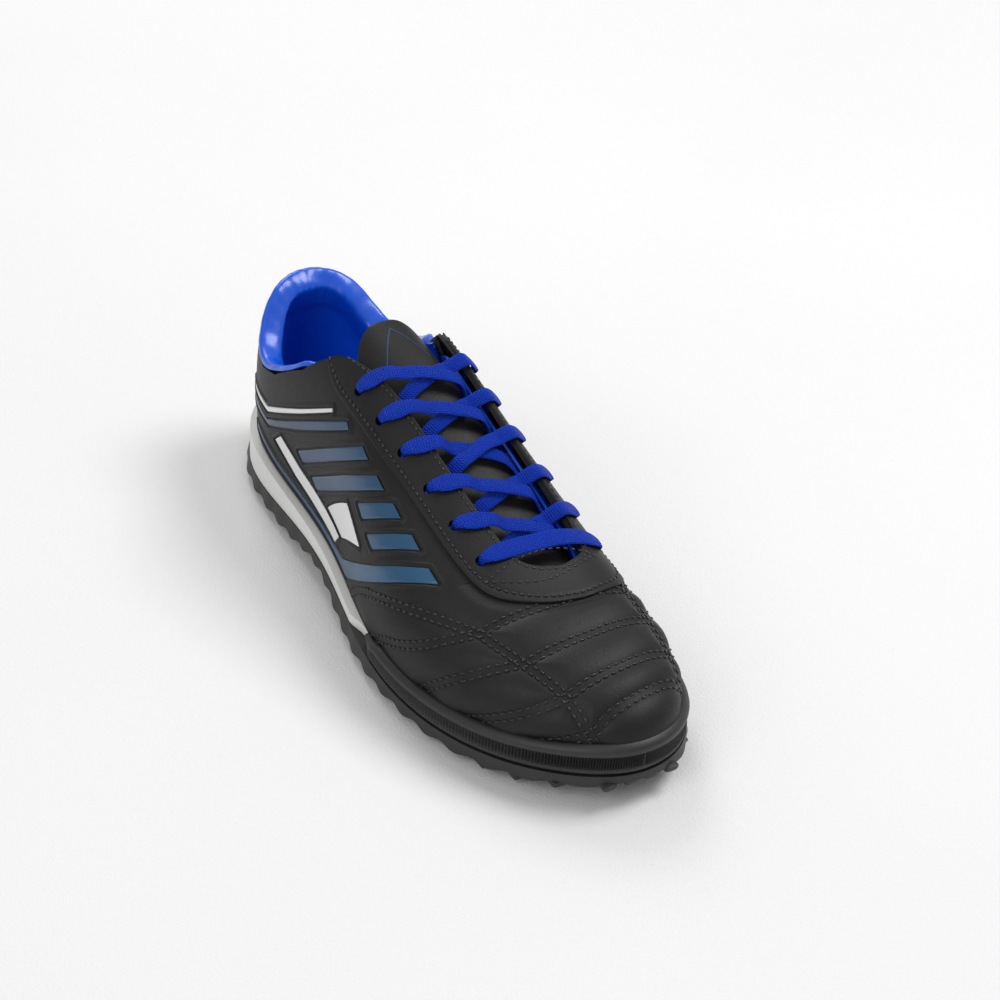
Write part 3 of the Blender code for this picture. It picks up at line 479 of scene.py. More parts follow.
across = np.concatenate([np.linspace(0, 0.05, 6), np.linspace(0.1, 0.9, 15), np.linspace(0.95, 1, 6)])
bm = sheet(300, 26, place_plate, stations=(np.linspace(0, 1, 301), across))
bmesh.ops.remove_doubles(bm, verts=list(bm.verts), dist=1e-5)
middle_x = floor_plan(np.linspace(0, 1, 401), np.zeros(401), SOLE_RIM, 0)[:, 0]
start, end = middle_x[0], middle_x[-1]
rows = int((end - start - STUD_LENGTH) // STUD_PITCH) + 1
first = start + (end - start - (rows - 1) * STUD_PITCH - STUD_LENGTH) / 2
for row in range(rows):
    x = first + row * STUD_PITCH + STUD_LENGTH / 2
    u = np.interp(x, middle_x, np.linspace(0, 1, 401))
    part = part_of(u)
    ground = float(ground_height(part)) + 0.0020 * float(ramp(0.86, 0.98, part))
    root = float(plate_bottom(part)) + 0.0006
    for column, (low, high) in enumerate(STUD_COLUMNS):
        if 0.33 < part < 0.47 and column in (1, 2):
            continue
        ends = floor_plan(np.array([u, u]), np.array([2 * low - 1, 2 * high - 1]), SOLE_RIM, 0)
        wide = np.linalg.norm(ends[1] - ends[0])
        centre = ends.mean(0)
        stud = bmesh.ops.create_cube(bm, size=1.0)["verts"]
        for vert in stud:
            foot = vert.co.z < 0
            vert.co.x = centre[0] + vert.co.x * STUD_LENGTH * (STUD_TAPER if foot else 1.12)
            vert.co.y = centre[1] + vert.co.y * wide * (STUD_TAPER if foot else 1.0)
            vert.co.z = ground if foot else root
        sides = list({line for vert in stud for line in vert.link_edges})
        bmesh.ops.bevel(bm, geom=sides, offset=STUD_ROUNDING, segments=2, profile=0.5, affect="EDGES",
                        material=-1)
show("outsole_rubber", bm, RUBBER_FINISH, ["outsole"], sharp=0.9)


# Midsole: an off-white wedge of moulded foam between outsole and upper, with a shallow groove along its
# wall. It runs in behind the toe bumper at the front.
def white_foam(spot):
    soft = noise(spot, 35.0, 3.0)
    pores = cells(spot, 2600.0)
    color = between(soft, (0.70, 0.70, 0.67), (0.82, 0.82, 0.80))
    return color, soft * 0.15 + 0.45, pores * 0.00002 + soft * 0.0001


FOAM_FINISH = finish_of("white_foam", white_foam)


WALL = SOLE_RIM - 0.001
BEHIND_BUMPER = 0.0046


def place_midsole_wall(a, b, c):
    part = part_of(a)
    inner = ramp(0.550, 0.588, part)
    edge_at = (1 - np.abs(2 * b - 1)) * 40
    groove = 0.0006 * np.exp(-((c - 0.72) / 0.1)**2) * (edge_at < 1)
    off = WALL - (WALL - BEHIND_BUMPER) * inner
    bulge = 0.0006 * np.sin(np.pi * c)
    low, high = plate_top(part), feather_height(part) - FIT
    return floor_plan(a, 2 * b - 1, off + bulge - groove, low + (high - low) * c)


bm = sheet(240, 6, place_midsole_wall)
bmesh.ops.remove_doubles(bm, verts=list(bm.verts), dist=1e-5)
show("midsole_foam", bm, FOAM_FINISH, ["midsole"])


# Toe bumper: black rubber cupped round the toe against scuffs, with a smooth rounded lip and a recessed
# band of fine upright ribs. It is glued to the upper and the outsole.
LINING = 0.0010
PADDING = 0.0012
SHELL = 0.0014
BUMPER = 0.0034
RIB_COUNT = 200
RIB_DEPTH = 0.0011
BUMPER_IN = LINING + PADDING + SHELL + 3 * LAYER_GAP
TOE_BAND = round_of(1) - round_of(0.605)


def place_bumper(a, b, c):
    t = (2 * a - 1) * TOE_BAND
    u = 1 - np.abs(t)
    part = part_of(u)
    low = plate_top(part) + FIT
    high = feather_height(part) + 0.0045 * (0.3 + 0.7 * ramp(0.605, 0.66, part))
    z = low + (high - low) * b
    swell = (0.45 + 0.55 * ramp(0.605, 0.64, part)) * (1 - 0.35 * ramp(0.8, 1.0, b))
    band = ramp(0.17, 0.22, b) * (1 - ramp(0.64, 0.69, b)) * ramp(0.625, 0.645, part)
    ribs = 0.5 + 0.5 * np.cos(2 * np.pi * RIB_COUNT * a)
    face = BUMPER * swell - band * (RIB_DEPTH + 0.0002 - RIB_DEPTH * ribs) - rounded(b, 0.012, 0.0016)
    off = BUMPER_IN + np.where(c > 0.5, face, 0)
    v = np.where(t < 0, -1, 1) * at_height(u, z)
    spot = skin(u, v, off)
    spot[:, 2] = z
    return spot


tall = np.concatenate([[0, 0.015, 0.04, 0.08, 0.13, 0.17, 0.19, 0.22, 0.35, 0.5, 0.64, 0.665, 0.69, 0.73],
                       [0.8, 0.87, 0.93, 0.97, 0.99, 1]])
bm = sheet(RIB_COUNT * 6, len(tall) - 1, place_bumper, stations=(np.linspace(0, 1, RIB_COUNT * 6 + 1), tall))
show("toe_bumper_rubber", bm, RUBBER_FINISH, ["toe_bumper"], sharp=1.2)


# Vamp and quarters: fine-grained black synthetic leather over thin foam. The vamp is quilted with double
# rows of stitching, and the side panels are embossed with raised borders round the printed strips.
COLLAR = curve([(0, 0.707), (0.03, 0.672), (0.07, 0.582), (0.12, 0.535), (0.17, 0.572), (0.243, 0.682),
                (0.288, 0.775), (0.32, 0.82)])
def edge(points, smooth=True):
    spots = np.array([(float(round_of(at)), float(v)) for at, v in points])
    steps = np.hypot(np.diff(spots[:, 0]) * 0.33, np.diff(spots[:, 1]) * 0.07)
    t = np.concatenate([[0], np.cumsum(steps)]) / steps.sum()
    if smooth and len(points) > 2:
        u = curve(list(zip(t, spots[:, 0])))
        v = curve(list(zip(t, spots[:, 1])))
        return lambda at: np.stack([u(at), v(at)], -1)
    return lambda at: np.stack([np.interp(at, t, spots[:, 0]), np.interp(at, t, spots[:, 1])], -1)


def fill(bottom, top, left, right):
    """Blends four edges into a patch of (u, v) over (a, b)."""
    def at(a, b):
        a = a[:, None]
        b = b[:, None]
        flat = a[:, 0]
        tall = b[:, 0]
        corners = (1 - a) * (1 - b) * bottom(flat * 0) + a * (1 - b) * bottom(flat * 0 + 1)
        corners += (1 - a) * b * top(flat * 0) + a * b * top(flat * 0 + 1)
        return (1 - b) * bottom(flat) + b * top(flat) + (1 - a) * left(tall) + a * right(tall) - corners
    return at


def on_top(part, across, side=-1):
    """(part, v) of a point given by its distance from the middle of the throat, in ball widths."""
    return part, -abs(float(at_side(round_of(part), -side * across * BALL_WIDTH)))


def at_collar(part, below=0.0):
    u = round_of(part)
    return part, -float(at_height(u, UPPER_HEIGHT * COLLAR(part) - below))


OVERLAY = 0.0009
SHELL_IN = LINING + PADDING + 2 * LAYER_GAP
SHELL_OUT = SHELL_IN + SHELL
OVER_IN = SHELL_OUT + LAYER_GAP
OVER_OUT = OVER_IN + OVERLAY
HEEL_GAP = 0.00002

FACING_EDGE = [(0.392, -0.205), (0.543, -0.198), (0.688, -0.180)]
COLLAR_POINTS = (0, 0.03, 0.07, 0.12, 0.17, 0.243, 0.288)


def seam_line(side, shift=0.0):
    """The join of quarter and vamp, from the feather edge up to the front of the throat."""
    low, high = (-0.726, -0.53) if side < 0 else (-0.76, -0.63)
    points = [(0.521, -1), (0.655, low), (0.703, high), on_top(0.718, -0.37, side)]
    points.append(on_top(0.724, -0.150, side))
    return edge([(at + shift, v) for at, v in points])


def quarter_patch(side, start, top_points):
    top = edge(top_points, False)
    bottom = edge([(start, -1), (0.521, -1)])
    left = edge([(start, -1), top_points[0]])
    return fill(bottom, top, left, seam_line(side))


SEAM_GAP = 0.0008


def rear_edge(shift):
    outer = seam_line(-1, shift)
    inner = seam_line(1, shift)
    ends = [on_top(0.724 + shift, -0.150, side) for side in (-1, 1)]
    sides = [on_top(0.742 + shift, -0.085, side) for side in (-1, 1)]
    middle = float(at_side(round_of(0.748 + shift), 0))
    tip = edge([ends[0], sides[0], (0.748 + shift, middle), (sides[1][0], -sides[1][1]),
                (ends[1][0], -ends[1][1])])

    def at(b):
        far = inner(np.clip((1 - b) / 0.4, 0, 1)) * (1, -1)
        near = outer(np.clip(b / 0.4, 0, 1))
        between = tip(np.clip((b - 0.4) / 0.2, 0, 1))
        b = b[:, None]
        return np.where(b < 0.4, near, np.where(b > 0.6, far, between))

    return at


def toe_patch(rear):
    def at(a, b):
        front = np.stack([np.ones_like(b), 2 * b - 1], -1)
        back = rear(b)
        return back + (front - back) * a[:, None]
    return at


EYESTAY_OUT = [(0.292, -0.335), (0.330, -0.385), (0.395, -0.395), (0.565, -0.395), (0.700, -0.392),
               (0.752, -0.345), (0.788, -0.215), (0.804, -0.080), (0.807, 0)]
EYESTAY_IN = [(0.335, -0.243), (0.390, -0.205), (0.543, -0.198), (0.688, -0.180), (0.721, -0.150),
              (0.738, -0.075), (0.744, 0)]


def both_ways(points):
    half = [on_top(*point) for point in points]
    other = [on_top(at, across, 1) for at, across in points[-2::-1]]
    middle = float(at_side(round_of(points[-1][0]), 0))
    return half[:-1] + [(points[-1][0], middle)] + [(at, -v) for at, v in other]


EYESTAY_HALF = 0.395

# The strips' two long edges, as (part of the length, v) on the outer side
STRIPES = {
    "stripe_1": ([(0.070, -0.912), (0.165, -0.897), (0.267, -0.786), (0.342, -0.676), (0.402, -0.546)],
                 [(0.070, -0.898), (0.158, -0.884), (0.253, -0.772), (0.327, -0.662), (0.390, -0.531)]),
    "stripe_2": ([(0.295, -0.870), (0.394, -0.711), (0.467, -0.511)],
                 [(0.274, -0.853), (0.372, -0.698), (0.444, -0.511)]),
    "stripe_3": ([(0.349, -0.898), (0.459, -0.698), (0.525, -0.491)],
                 [(0.327, -0.880), (0.432, -0.692), (0.498, -0.498)]),
    "stripe_4": ([(0.517, -0.681), (0.579, -0.466)], [(0.490, -0.676), (0.552, -0.471)]),
    "stripe_5": ([(0.568, -0.691), (0.636, -0.451)], [(0.541, -0.691), (0.610, -0.451)]),
    "stripe_6": ([(0.10, -0.976), (0.20, -0.986), (0.35, -0.987), (0.44, -0.987), (0.494, -0.984),
                  (0.606, -0.756), (0.658, -0.586), (0.694, -0.456)],
                 [(0.10, -0.962), (0.20, -0.972), (0.35, -0.974), (0.425, -0.972), (0.470, -0.960),
                  (0.583, -0.735), (0.632, -0.577), (0.666, -0.456)]),
    "white_line": ([(0.070, -0.874), (0.160, -0.856), (0.268, -0.722), (0.350, -0.578)],
                   [(0.070, -0.862), (0.155, -0.843), (0.264, -0.709), (0.346, -0.566)]),
    "white_bar": ([(0.190, -0.914), (0.270, -0.945), (0.360, -0.959), (0.430, -0.962)],
                  [(0.210, -0.880), (0.284, -0.906), (0.365, -0.917), (0.448, -0.918)]),
    "white_badge": ([(0.392, -0.900), (0.458, -0.902)], [(0.458, -0.760), (0.530, -0.785)]),
}


def pulled_straight(line, side):
    """Adds points between the drawn ones, so that each stretch lies straight over the curved form."""
    spots = []
    for start, stop in zip(line[:-1], line[1:]):
        t = np.linspace(0, 1, 13)[:-1, None]
        guess = start + (stop - start) * t
        ends = inside(np.array([start[0], stop[0]]), -side * np.array([start[1], stop[1]]))
        goal = ends[0] + (ends[1] - ends[0]) * t
        for _ in range(4):
            here = inside(guess[:, 0], -side * guess[:, 1])
            by_u = (inside(guess[:, 0] + 1e-3, -side * guess[:, 1]) - here) / 1e-3
            by_v = (inside(guess[:, 0], -side * (guess[:, 1] + 1e-3)) - here) / 1e-3
            miss = goal - here
            uu, uv, vv = (by_u * by_u).sum(1), (by_u * by_v).sum(1), (by_v * by_v).sum(1)
            u_miss, v_miss = (by_u * miss).sum(1), (by_v * miss).sum(1)
            move = np.stack([vv * u_miss - uv * v_miss, uu * v_miss - uv * u_miss], -1)
            guess = guess + move / (uu * vv - uv * uv)[:, None]
            guess[:, 1] = np.clip(guess[:, 1], -0.995, -0.05)
        spots.append(guess)
    return np.concatenate([*spots, line[-1:]])


def strip_patch(low, high, side):
    """A strip between two drawn edges. The inner side's are squeezed to fit below the eyestay there."""
    pairs = np.array([[(float(round_of(at)), v) for at, v in line] for line in (low, high)])
    if side > 0:
        for spot in pairs.reshape(-1, 2):
            u = np.clip(spot[0], float(round_of(0.31)), float(round_of(0.72)))
            outer = abs(float(at_side(u, -EYESTAY_HALF * BALL_WIDTH)))
            inner = abs(float(at_side(u, EYESTAY_HALF * BALL_WIDTH)))
            spot[1] = -1 + (1 + spot[1]) * (1 - inner) / (1 - outer)
    pairs = np.array([pulled_straight(line, side) for line in pairs])
    steps = np.linalg.norm(np.diff(pairs, axis=1) * (0.33, 0.09), axis=2).mean(axis=0)
    t = np.concatenate([[0], np.cumsum(steps)]) / steps.sum()

    def patch(a, b):
        ends = [np.stack([np.interp(a, t, line[:, 0]), np.interp(a, t, line[:, 1])], -1) for line in pairs]
        return ends[0] + (ends[1] - ends[0]) * b[:, None]

    return patch


def tree_of(points):
    tree = KDTree(len(points))
    for index, point in enumerate(points):
        tree.insert(point, index)
    tree.balance()
    return tree


def far_from(tree, points):
    return np.array([tree.find(point)[2] for point in points])


def spaced(points, gap):
    """The points of a line, evenly spaced."""
    reach = np.concatenate([[0], np.cumsum(np.linalg.norm(np.diff(points, axis=0), axis=1))])
    at = np.linspace(0, reach[-1], max(2, int(reach[-1] / gap) + 1))
    return np.stack([np.interp(at, reach, column) for column in points.T], 1)


PLAN_GRID = np.meshgrid(np.linspace(0.5, 0.998, 300), np.linspace(-0.96, 0.96, 321))
PLAN_U, PLAN_V = [grid.ravel() for grid in PLAN_GRID]
PLAN = skin(PLAN_U, PLAN_V, 0)
PLAN_TREE = tree_of(PLAN * (1, 1, 0))


def leg(points):
    """A line drawn over the side of the form, as (part, v)."""
    spots = edge(points)(np.linspace(0, 1, 60))
    return skin(spots[:, 0], spots[:, 1], 0)


def over_top(start, stop, bow=0.0):
    """A straight line across the top in plan, bowed towards the toe, laid on the form."""
    ends = skin(round_of([start[0], stop[0]]), np.array([start[1], stop[1]]), 0)
    at = np.linspace(0, 1, 50)[:, None]
    line = ends[0] + (ends[1] - ends[0]) * at
    line[:, 0] += bow * np.sin(np.pi * at[:, 0])
    for point in line:
        found = PLAN_TREE.find_n((point[0], point[1], 0), 4)
        weights = np.array([1 / (gap + 1e-5) for _, _, gap in found])
        point[2] = (PLAN[[index for _, index, _ in found], 2] * weights).sum() / weights.sum()
    return line


ROW_HALF = 0.0015
QUILTS = [leg([(0.521, -0.99), (0.655, -0.726), (0.736, -0.561), (0.792, -0.451)]),
          leg([(0.521, 0.99), (0.655, 0.760), (0.736, 0.600), (0.792, 0.440)]),
          leg([(0.792, -0.451), (0.870, -0.416), (0.941, -0.486), (0.985, -0.955)]),
          leg([(0.792, 0.440), (0.860, 0.500), (0.920, 0.640), (0.960, 0.965)])]
for drawn_out, cross_out, cross_in, drawn_in in (
        ([(0.621, -0.99), (0.733, -0.746)], (0.792, -0.451), (0.792, 0.440), [(0.733, 0.760), (0.621, 0.99)]),
        ([(0.757, -0.965), (0.82, -0.70)], (0.870, -0.401), (0.851, 0.456), [(0.80, 0.73), (0.740, 0.975)]),
        ([(0.832, -0.985), (0.90, -0.78)], (0.945, -0.501), (0.913, 0.546), [(0.865, 0.82), (0.815, 0.985)]),
        ([(0.918, -0.98), (0.955, -0.90)], (0.981, -0.776), (0.945, 0.870), [(0.915, 0.95), (0.900, 0.98)])):
    crossing = over_top(cross_out, cross_in, 0.002)
    outer_leg = leg([*drawn_out, cross_out])
    QUILTS.append(np.concatenate([outer_leg[:-1], crossing[:-1], leg([cross_in, *drawn_in])]))
QUILTS = [spaced(line, 0.0006) for line in QUILTS]
QUILT_TREE = tree_of(np.concatenate(QUILTS))
stay_out, stay_in = edge(both_ways(EYESTAY_OUT)), edge(both_ways(EYESTAY_IN))
grid_a, grid_b = [grid.ravel() for grid in np.meshgrid(np.linspace(0, 1, 260), np.linspace(0, 1, 16))]
stay_spots = stay_out(grid_a) + (stay_in(grid_a) - stay_out(grid_a)) * grid_b[:, None]
STAY_TREE = tree_of(skin(stay_spots[:, 0], stay_spots[:, 1], 0))


def filled(patch, side):
    a, b = [grid.ravel() for grid in np.meshgrid(np.linspace(0, 1, 200), np.linspace(0, 1, 28))]
    spots = patch(a, b)
    return skin(spots[:, 0], -side * spots[:, 1], 0)


PRINT_TREE = tree_of(np.concatenate([filled(strip_patch(*STRIPES[name], side), side)
                                     for name in STRIPES for side in (-1, 1)]))


def clear_of_prints(points):
    return ramp(0.001, 0.007, far_from(PRINT_TREE, points))


def relief(u, v, part, puff):
    """How far the leather stands out at a spot: quilted pillows, and borders round the prints."""
    points = skin(u, v, 0)
    gap = far_from(QUILT_TREE, points) - ROW_HALF
    bead = 0.00024 * np.cos(np.pi * gap / (2 * ROW_HALF))**2 * np.clip(-gap / ROW_HALF, 0, 1)
    pillow = np.where(gap < 0, bead, puff * (1 - np.exp(-np.clip(gap, 0, 1) / 0.0030)))
    clear = ramp(0.0008, 0.0060, far_from(STAY_TREE, points))
    edge_fade = ramp(0.0, 0.06, 1 - np.abs(v))
    inside_print = far_from(PRINT_TREE, points)
    border = 0.00060 * ramp(0.0006, 0.0011, inside_print) * (1 - ramp(0.0016, 0.0025, inside_print))
    border -= 0.00025 * (1 - ramp(0.0004, 0.0008, inside_print))
    quilting = pillow * clear * edge_fade * ramp(0.50, 0.60, part) * clear_of_prints(points)
    return quilting + border * (1 - ramp(0.70, 0.74, part))


def black_leather(spot):
    grain = cells(spot, 1500.0)
    creases = noise(spot, 260.0, 5.0)
    broad = noise(spot, 18.0, 2.0)
    color = between(creases * 0.6 + broad * 0.4, (0.0065, 0.0065, 0.0070), (0.0150, 0.0150, 0.0155))
    return color, broad * 0.10 + grain * 0.10 + 0.40, grain * 0.00005 + creases * 0.00010


LEATHER = finish_of("black_leather", black_leather, Specular_IOR_Level=0.28)


def leather_panel(patch, side=-1, puff=0.0004):
    def place(a, b, c):
        spot = patch(a, b)
        u, v = spot[:, 0], -side * spot[:, 1]
        outer = c > 0.5
        raised = np.zeros(len(u))
        raised[outer] = relief(u[outer], v[outer], part_of(u[outer]), puff)
        return skin(u, v, np.where(outer, SHELL_OUT + raised, SHELL_IN))
    return place


collar = [at_collar(at) for at in COLLAR_POINTS]
for side, word in ((-1, "lateral"), (1, "medial")):
    corner = [on_top(0.304, -0.285, side), on_top(0.330, -0.250, side), on_top(0.362, -0.225, side)]
    throat = [on_top(at, across, side) for at, across in FACING_EDGE + [(0.724, -0.150)]]
    outer = quarter_patch(side, HEEL_GAP, [(HEEL_GAP, collar[0][1])] + collar[1:] + corner + throat)
    bm = sheet(420, 150, leather_panel(outer, side))
    show("quarter_leather_" + word, bm, LEATHER, ["quarter_" + word], sharp=1.0)
bm = sheet(150, 260, leather_panel(toe_patch(rear_edge(SEAM_GAP)), puff=0.0014), glued=True)
show("vamp_leather", bm, LEATHER, ["vamp"], sharp=1.0)


# Stitching: glossy black thread, one small rounded stitch after another, in a row down each side of every
# quilted channel. Each stitch lies across the leather and is pulled a little into it.
def black_thread(spot):
    twist = noise(spot, 4000.0, 2.0)
    return between(twist, (0.004, 0.004, 0.004), (0.020, 0.020, 0.021)), twist * 0.2 + 0.22, twist * 0.00005


THREAD = finish_of("black_thread", black_thread)


def normals_of(points):
    return np.array([FORM_NORMALS[FORM_TREE.find(point)[1]] for point in points])


form_grid = np.meshgrid(np.linspace(0.02, 0.995, 360), np.linspace(-1, 1, 180))
form_u, form_v = [grid.ravel() for grid in form_grid]
FORM_TREE = tree_of(skin(form_u, form_v, 0))
FORM_NORMALS = skin(form_u, form_v, 1.0) - skin(form_u, form_v, 0)


def sew(bm, line, height, sideways=0.0, pitch=0.0033, length=0.0026, thick=0.00050):
    """Adds stitches along a line that lies on the form, raised by height and moved sideways."""
    points = spaced(line, pitch)
    tangent = np.gradient(points, axis=0)
    normal = normals_of(points)
    for spot, ahead, out in zip(points, tangent, normal):
        ahead = Vector(ahead).normalized()
        out = Vector(out)
        beside = ahead.cross(out).normalized()
        out = beside.cross(ahead)
        turn = Matrix((ahead, beside, out)).transposed().to_4x4()
        size = Matrix.Diagonal((length / 2, thick, thick * 0.8, 1))
        place = Matrix.Translation(Vector(spot) + out * height + beside * sideways) @ turn @ size
        bmesh.ops.create_uvsphere(bm, u_segments=8, v_segments=5, radius=1.0, matrix=place)


bm = bmesh.new()
for line in QUILTS:
    for sideways in (-ROW_HALF, ROW_HALF):
        sew(bm, line, SHELL_OUT + 0.00022, sideways)
show("quilt_stitches", bm, THREAD, [], sharp=3.0)


# Eyestay: one piece of the same leather, sewn on round the throat with a row of stitches along each edge
# and two bowed rows across its front. Six plain holes a side are punched through it and the quarter.
EYELET_ROWS = (0.383, 0.444, 0.505, 0.572, 0.636, 0.700)
EYELET_OUT = (0.303, 0.303, 0.308, 0.314, 0.316, 0.303)
HOLE = 0.0048


def place_stay(a, b, c):
    spots = stay_out(a) + (stay_in(a) - stay_out(a)) * b[:, None]
    drop = rounded(b, 0.018, 0.0006) + 0.00025 * np.exp(-((b - 0.16) / 0.03)**2)
    return skin(spots[:, 0], spots[:, 1], np.where(c > 0.5, OVER_OUT - drop, SHELL_OUT + 0.0001))


def hole_frame(row, side):
    u = round_of(EYELET_ROWS[row])
    v = float(at_side(u, side * EYELET_OUT[row] * BALL_WIDTH))
    centre = skin(u, v, 0.0)
    return centre, skin(u, v, 0.001) - centre


wide = np.concatenate([[0, 0.006, 0.014, 0.024, 0.035], np.linspace(0.06, 0.94, 24),
                       [0.965, 0.976, 0.986, 0.994, 1]])
bm = sheet(300, len(wide) - 1, place_stay, stations=(np.linspace(0, 1, 301), wide))
stay = show("eyestay_leather", bm, LEATHER, ["eyestay"], sharp=1.0)
bm = bmesh.new()
for side in (-1, 1):
    for row in range(6):
        centre, out = hole_frame(row, side)
        turn = Vector(out).to_track_quat("Z", "Y").to_matrix().to_4x4()
        middle = Vector(centre + SHIFT) + Vector(out).normalized() * (OVER_OUT / 2)
        bmesh.ops.create_cone(bm, cap_ends=True, segments=24, radius1=HOLE / 2, radius2=HOLE / 2, depth=0.014,
                              matrix=Matrix.Translation(middle) @ turn)
mesh = bpy.data.meshes.new("punch")
bm.to_mesh(mesh)
bm.free()
punch = bpy.data.objects.new("punch", mesh)
bpy.context.scene.collection.objects.link(punch)
for piece in (stay, bpy.data.objects["quarter_leather_lateral"], bpy.data.objects["quarter_leather_medial"]):
    cut = piece.modifiers.new("eyelets", "BOOLEAN")
    cut.operation = "DIFFERENCE"
    cut.solver = "EXACT"
    cut.object = punch
    bpy.context.view_layer.update()
    done = bpy.data.meshes.new_from_object(piece.evaluated_get(bpy.context.evaluated_depsgraph_get()))
    piece.modifiers.clear()
    piece.data = done
bpy.data.objects.remove(punch)

bm = bmesh.new()
t = np.linspace(0, 1, 500)
for depth in (0.16, 0.90):
    spots = stay_out(t) + (stay_in(t) - stay_out(t)) * depth
    sew(bm, skin(spots[:, 0], spots[:, 1], 0), OVER_OUT, pitch=0.0030, length=0.0022)
for bow in (0.0085, -0.0045):
    sew(bm, over_top((0.732, -0.26), (0.730, 0.34), bow), OVER_OUT, pitch=0.0030, length=0.0022)
show("eyestay_stitches", bm, THREAD, [], sharp=3.0)


# Heel overlay: a moulded cap of the black leather round the back of the heel, glued over the join of the
# two quarters, with its edges rounded.
def heel_point(s, z, off):
    u = np.abs(s)
    return skin(u, np.where(s < 0, -1, 1) * at_height(u, z), off)


def place_heel_overlay(a, b, c):
    s = (2 * a - 1) * (0.118 - 0.03 * b)
    part = part_of(np.abs(s))
    low = feather_height(part) + 0.0006
    high = UPPER_HEIGHT * COLLAR(part) - 0.004
    drop = np.maximum(rounded(a, 0.07, 0.0008), rounded(b, 0.05, 0.0008))
    return heel_point(s, low + (high - low) * b, np.where(c > 0.5, OVER_OUT + 0.0002 - drop, SHELL_OUT))


show("heel_overlay_leather", sheet(120, 60, place_heel_overlay), LEATHER, ["heel_overlay"])


# Collar: glossy coated blue lining, drawn over soft foam and rolled over the quarters' top edge, where it
# puckers a little. It runs down inside the heel.
COLLAR_PAD = 0.0046


def collar_swell(part):
    return 1 - 0.9 * ramp(0.17, 0.285, part)


# Its course up and over: height above the collar line, share of the pad inwards, share of the wall outwards
COLLAR_ROLL = ((-0.018, 0.15, 0.11), (-0.009, 0.72, 0.11), (-0.002, 1, 0.11), (0.0015, 0.85, 0),
               (0.0034, 0.42, 0.3), (0.0042, 0, 0.62), (0.0036, 0, 0.94), (0.0020, 0, 1.03))


def collar_middle(a, b):
    s = (2 * a - 1) * float(round_of(0.3035))
    part = part_of(np.abs(s))
    top = UPPER_HEIGHT * COLLAR(part)
    base = feather_height(part) + 0.0006
    swell = collar_swell(part) * COLLAR_PAD
    heights = [base, base + (top - 0.018 - base) * 0.5]
    offs = [0 * s + LINING / 2, 0 * s + LINING / 2]
    fade = 1 - ramp(0.235, 0.290, part)
    for height, inward, outward in COLLAR_ROLL:
        heights.append(top + (height * fade - 0.0030 * (1 - fade) if height > 0 else height))
        offs.append(outward * fade * SHELL_OUT - inward * swell)
    heights, offs = np.array(heights), np.array(offs)
    last = len(heights) - 1
    row = b * last
    low = np.clip(row.astype(int), 0, last - 1)
    share = row - low
    spots = np.arange(len(s))

    def smooth(values):
        before, here = values[np.maximum(low - 1, 0), spots], values[low, spots]
        after, beyond = values[low + 1, spots], values[np.minimum(low + 2, last), spots]
        slope, end_slope = (after - before) / 2, (beyond - here) / 2
        t, t2, t3 = share, share**2, share**3
        return (here * (2 * t3 - 3 * t2 + 1) + slope * (t3 - 2 * t2 + t) + after * (3 * t2 - 2 * t3)
                + end_slope * (t3 - t2))

    return heel_point(s, smooth(heights), smooth(offs))


def place_collar_lining(a, b, c):
    step = 0.05
    round_heel = collar_middle(np.clip(a + 0.01, 0, 1), b) - collar_middle(np.clip(a - 0.01, 0, 1), b)
    upwards = collar_middle(a, np.clip(b + step, 0, 1)) - collar_middle(a, np.clip(b - step, 0, 1))
    normal = np.cross(round_heel, upwards)
    normal /= np.linalg.norm(normal, axis=-1, keepdims=True)
    s = (2 * a - 1) * 40
    pucker = 0.00010 * np.sin(s * 1.6 + 2 * np.sin(b * 4)) * np.sin(s * 0.53 + 1.7) * ramp(0.15, 0.35, b)
    sag = 0.0006 * np.sin(s * 0.35 + b * 4) * ramp(0.1, 0.3, b) * (1 - ramp(0.6, 0.8, b))
    return collar_middle(a, b) + ((0.5 - c) * LINING + pucker * (c < 0.5) + sag)[:, None] * normal


def blue_lining(spot):
    weave = cells(spot, 1400.0)
    folds = noise(spot, 90.0, 3.0)
    color = between(noise(spot, 30.0, 2.0), (0.001, 0.060, 0.52), (0.002, 0.115, 0.76))
    return color, folds * 0.2 + 0.22, weave * 0.00002 + folds * 0.00025


LINING_FINISH = finish_of("blue_lining", blue_lining, Coat_Weight=0.3, Coat_Roughness=0.2)
collar_piece = show("collar_lining_padded", sheet(260, 60, place_collar_lining), LINING_FINISH,
                    ["collar_lining"], sharp=1.4)


# Tongue: black leather over a foam pad, sewn to the vamp at its front end, with rounded edges. It lies
# under the lace, and its tip stands up out of the throat.
LACE_ROOM = 0.0034
TONGUE_BASE = 0.770
TONGUE_TIP = 0.282


def place_tongue(low, high, inset=0.0):
    def place(a, b, c):
        w = 2 * b - 1
        tip = TONGUE_TIP + 0.035 * np.abs(w)**3 + inset / LAST_LENGTH
        part = TONGUE_BASE + (tip - TONGUE_BASE) * a
        half = BALL_WIDTH * np.interp(a, (0, 0.3, 0.7, 0.94, 1), (0.19, 0.235, 0.29, 0.29, 0.265)) - inset
        u = round_of(part)
        rim = rounded(b, 0.05, 0.0012) + rounded(np.clip(a, 0.5, 1), 0.14, 0.0012)
        off = low + (high - low) * c - rim * (c > 0.5)
        return skin(u, at_side(u, w * half), -LACE_ROOM + off)
    return place


SKIN_TONGUE = 0.0016
tongue = show("tongue_leather", sheet(180, 60, place_tongue(-SKIN_TONGUE, 0.0002)), LEATHER, ["tongue_outer"],
              "tongue", 1.0)


